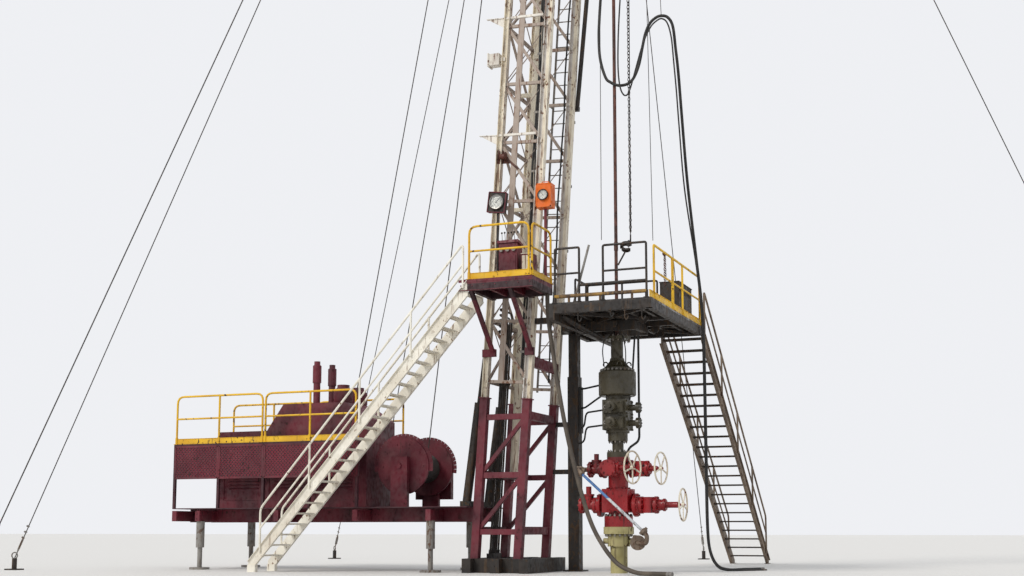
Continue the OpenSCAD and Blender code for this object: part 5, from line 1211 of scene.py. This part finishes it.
piece("hood_doors", hood, "maroon_paint", smooth=35)

# %% [markdown]
# The drum is wound with wire rope: one helix on the drum, its pitch the rope's own width. Guards cover
# the brake flanges, and a chain case stands at one end.
# %% Drawworks
drum = np.array([-2.4, 0.0, 2.3])
ROPE, ROPE_PITCH, COIL_R, COILS, COIL_START = 0.026, 0.0278, 0.322, 40, -0.56
t = np.linspace(0, 2 * np.pi * COILS, COILS * 20)
helix = np.stack([drum[0] + COIL_R * np.cos(t), COIL_START + t / (2 * np.pi) * ROPE_PITCH,
                  drum[2] + COIL_R * np.sin(t)], -1)
piece("drum_rope", [sweep(helix, ROPE / 2, 6)], "wire_rope")
GUARD_R, GUARD_Y, BRAKE_BOLTS = 0.64, 0.63, 10
dw = []
for s in (-1, 1):
    guard = [drum + [GUARD_R * math.cos(a), s * GUARD_Y, GUARD_R * math.sin(a)]
             for a in np.linspace(math.radians(-10), math.radians(190), 26)]
    dw += [bar(p, q, 0.16, 0.008, up=Y) for p, q in zip(guard, guard[1:])]
    for a in around(BRAKE_BOLTS):
        dw.append(placed(hex_nut(0.02, 0.02), drum + [0.5 * math.cos(a), s * 0.66, 0.5 * math.sin(a)], Y * s))
case_ring = [(-0.45, -0.7), (0.45, -0.7), (0.45, 0.2), (0.3, 0.45), (-0.3, 0.45), (-0.45, 0.2)]
dw.append(plate(case_ring, 0.14, drum + Y * 1.04, X, UP))
piece("drawworks_guards", dw, "maroon_paint", smooth=30)

# %% [markdown]
# The guys end in eyes with three clips each; a clip is a small saddle with a bent bolt. The hoisting
# lines, the tong chain and the guys keep the model's own shape under a stranded finish.
# %% Guy clips and anchor eyes
clips = []
ANCHORS = [(-9.6, -8.0), (-13.4, -3.0), (-12.5, 10.0), (13.0, -6.0), (12.0, 10.0), (-1.5, 13.5)]
EYE_Z, GUY_W, EYE_R = 0.265, 24.91, 0.07
for i, (ax, ay) in enumerate(ANCHORS):
    foot = well + [ax, ay, EYE_Z]
    u = UPPER_REAR - 0.16 + 0.06 * i if ax < 0 else 0.656 + 0.06 * i
    top = mast(u, np.sign(ay) * (UPPER_V + 0.085), GUY_W)
    ray = (top - foot) / np.linalg.norm(top - foot)
    side = np.cross(ray, UP)
    side /= np.linalg.norm(side)
    over = np.cross(side, ray)
    for k in range(3):
        at = foot + ray * (0.5 + 0.14 * k)
        clips.append(bar(at - ray * 0.02 + over * 0.012, at + ray * 0.02 + over * 0.012, 0.06, 0.02, up=side))
        for s in (-1, 1):
            leg = at + side * s * 0.022
            clips.append(straight(leg - over * 0.02, leg + over * 0.045, 0.007, 6))
    ring = [(EYE_R * math.cos(a), 0, EYE_R * math.sin(a)) for a in around(24)]
    loop = sweep(ring + ring[:1], 0.014, 8, caps=False)
    clips.append(placed(loop, foot + UP * 0.06, UP, (ray[0], ray[1], 0)))
    body = foot + ray * 0.22
    clips.append(straight(body - ray * 0.04, body + ray * 0.28, 0.02, 10))
    for s in (1, -1):
        clips.append(straight(body + side * s * 0.03, body + ray * 0.24 + side * s * 0.03, 0.009, 8))
piece("guy_clips", clips, "grey_steel", smooth=30)
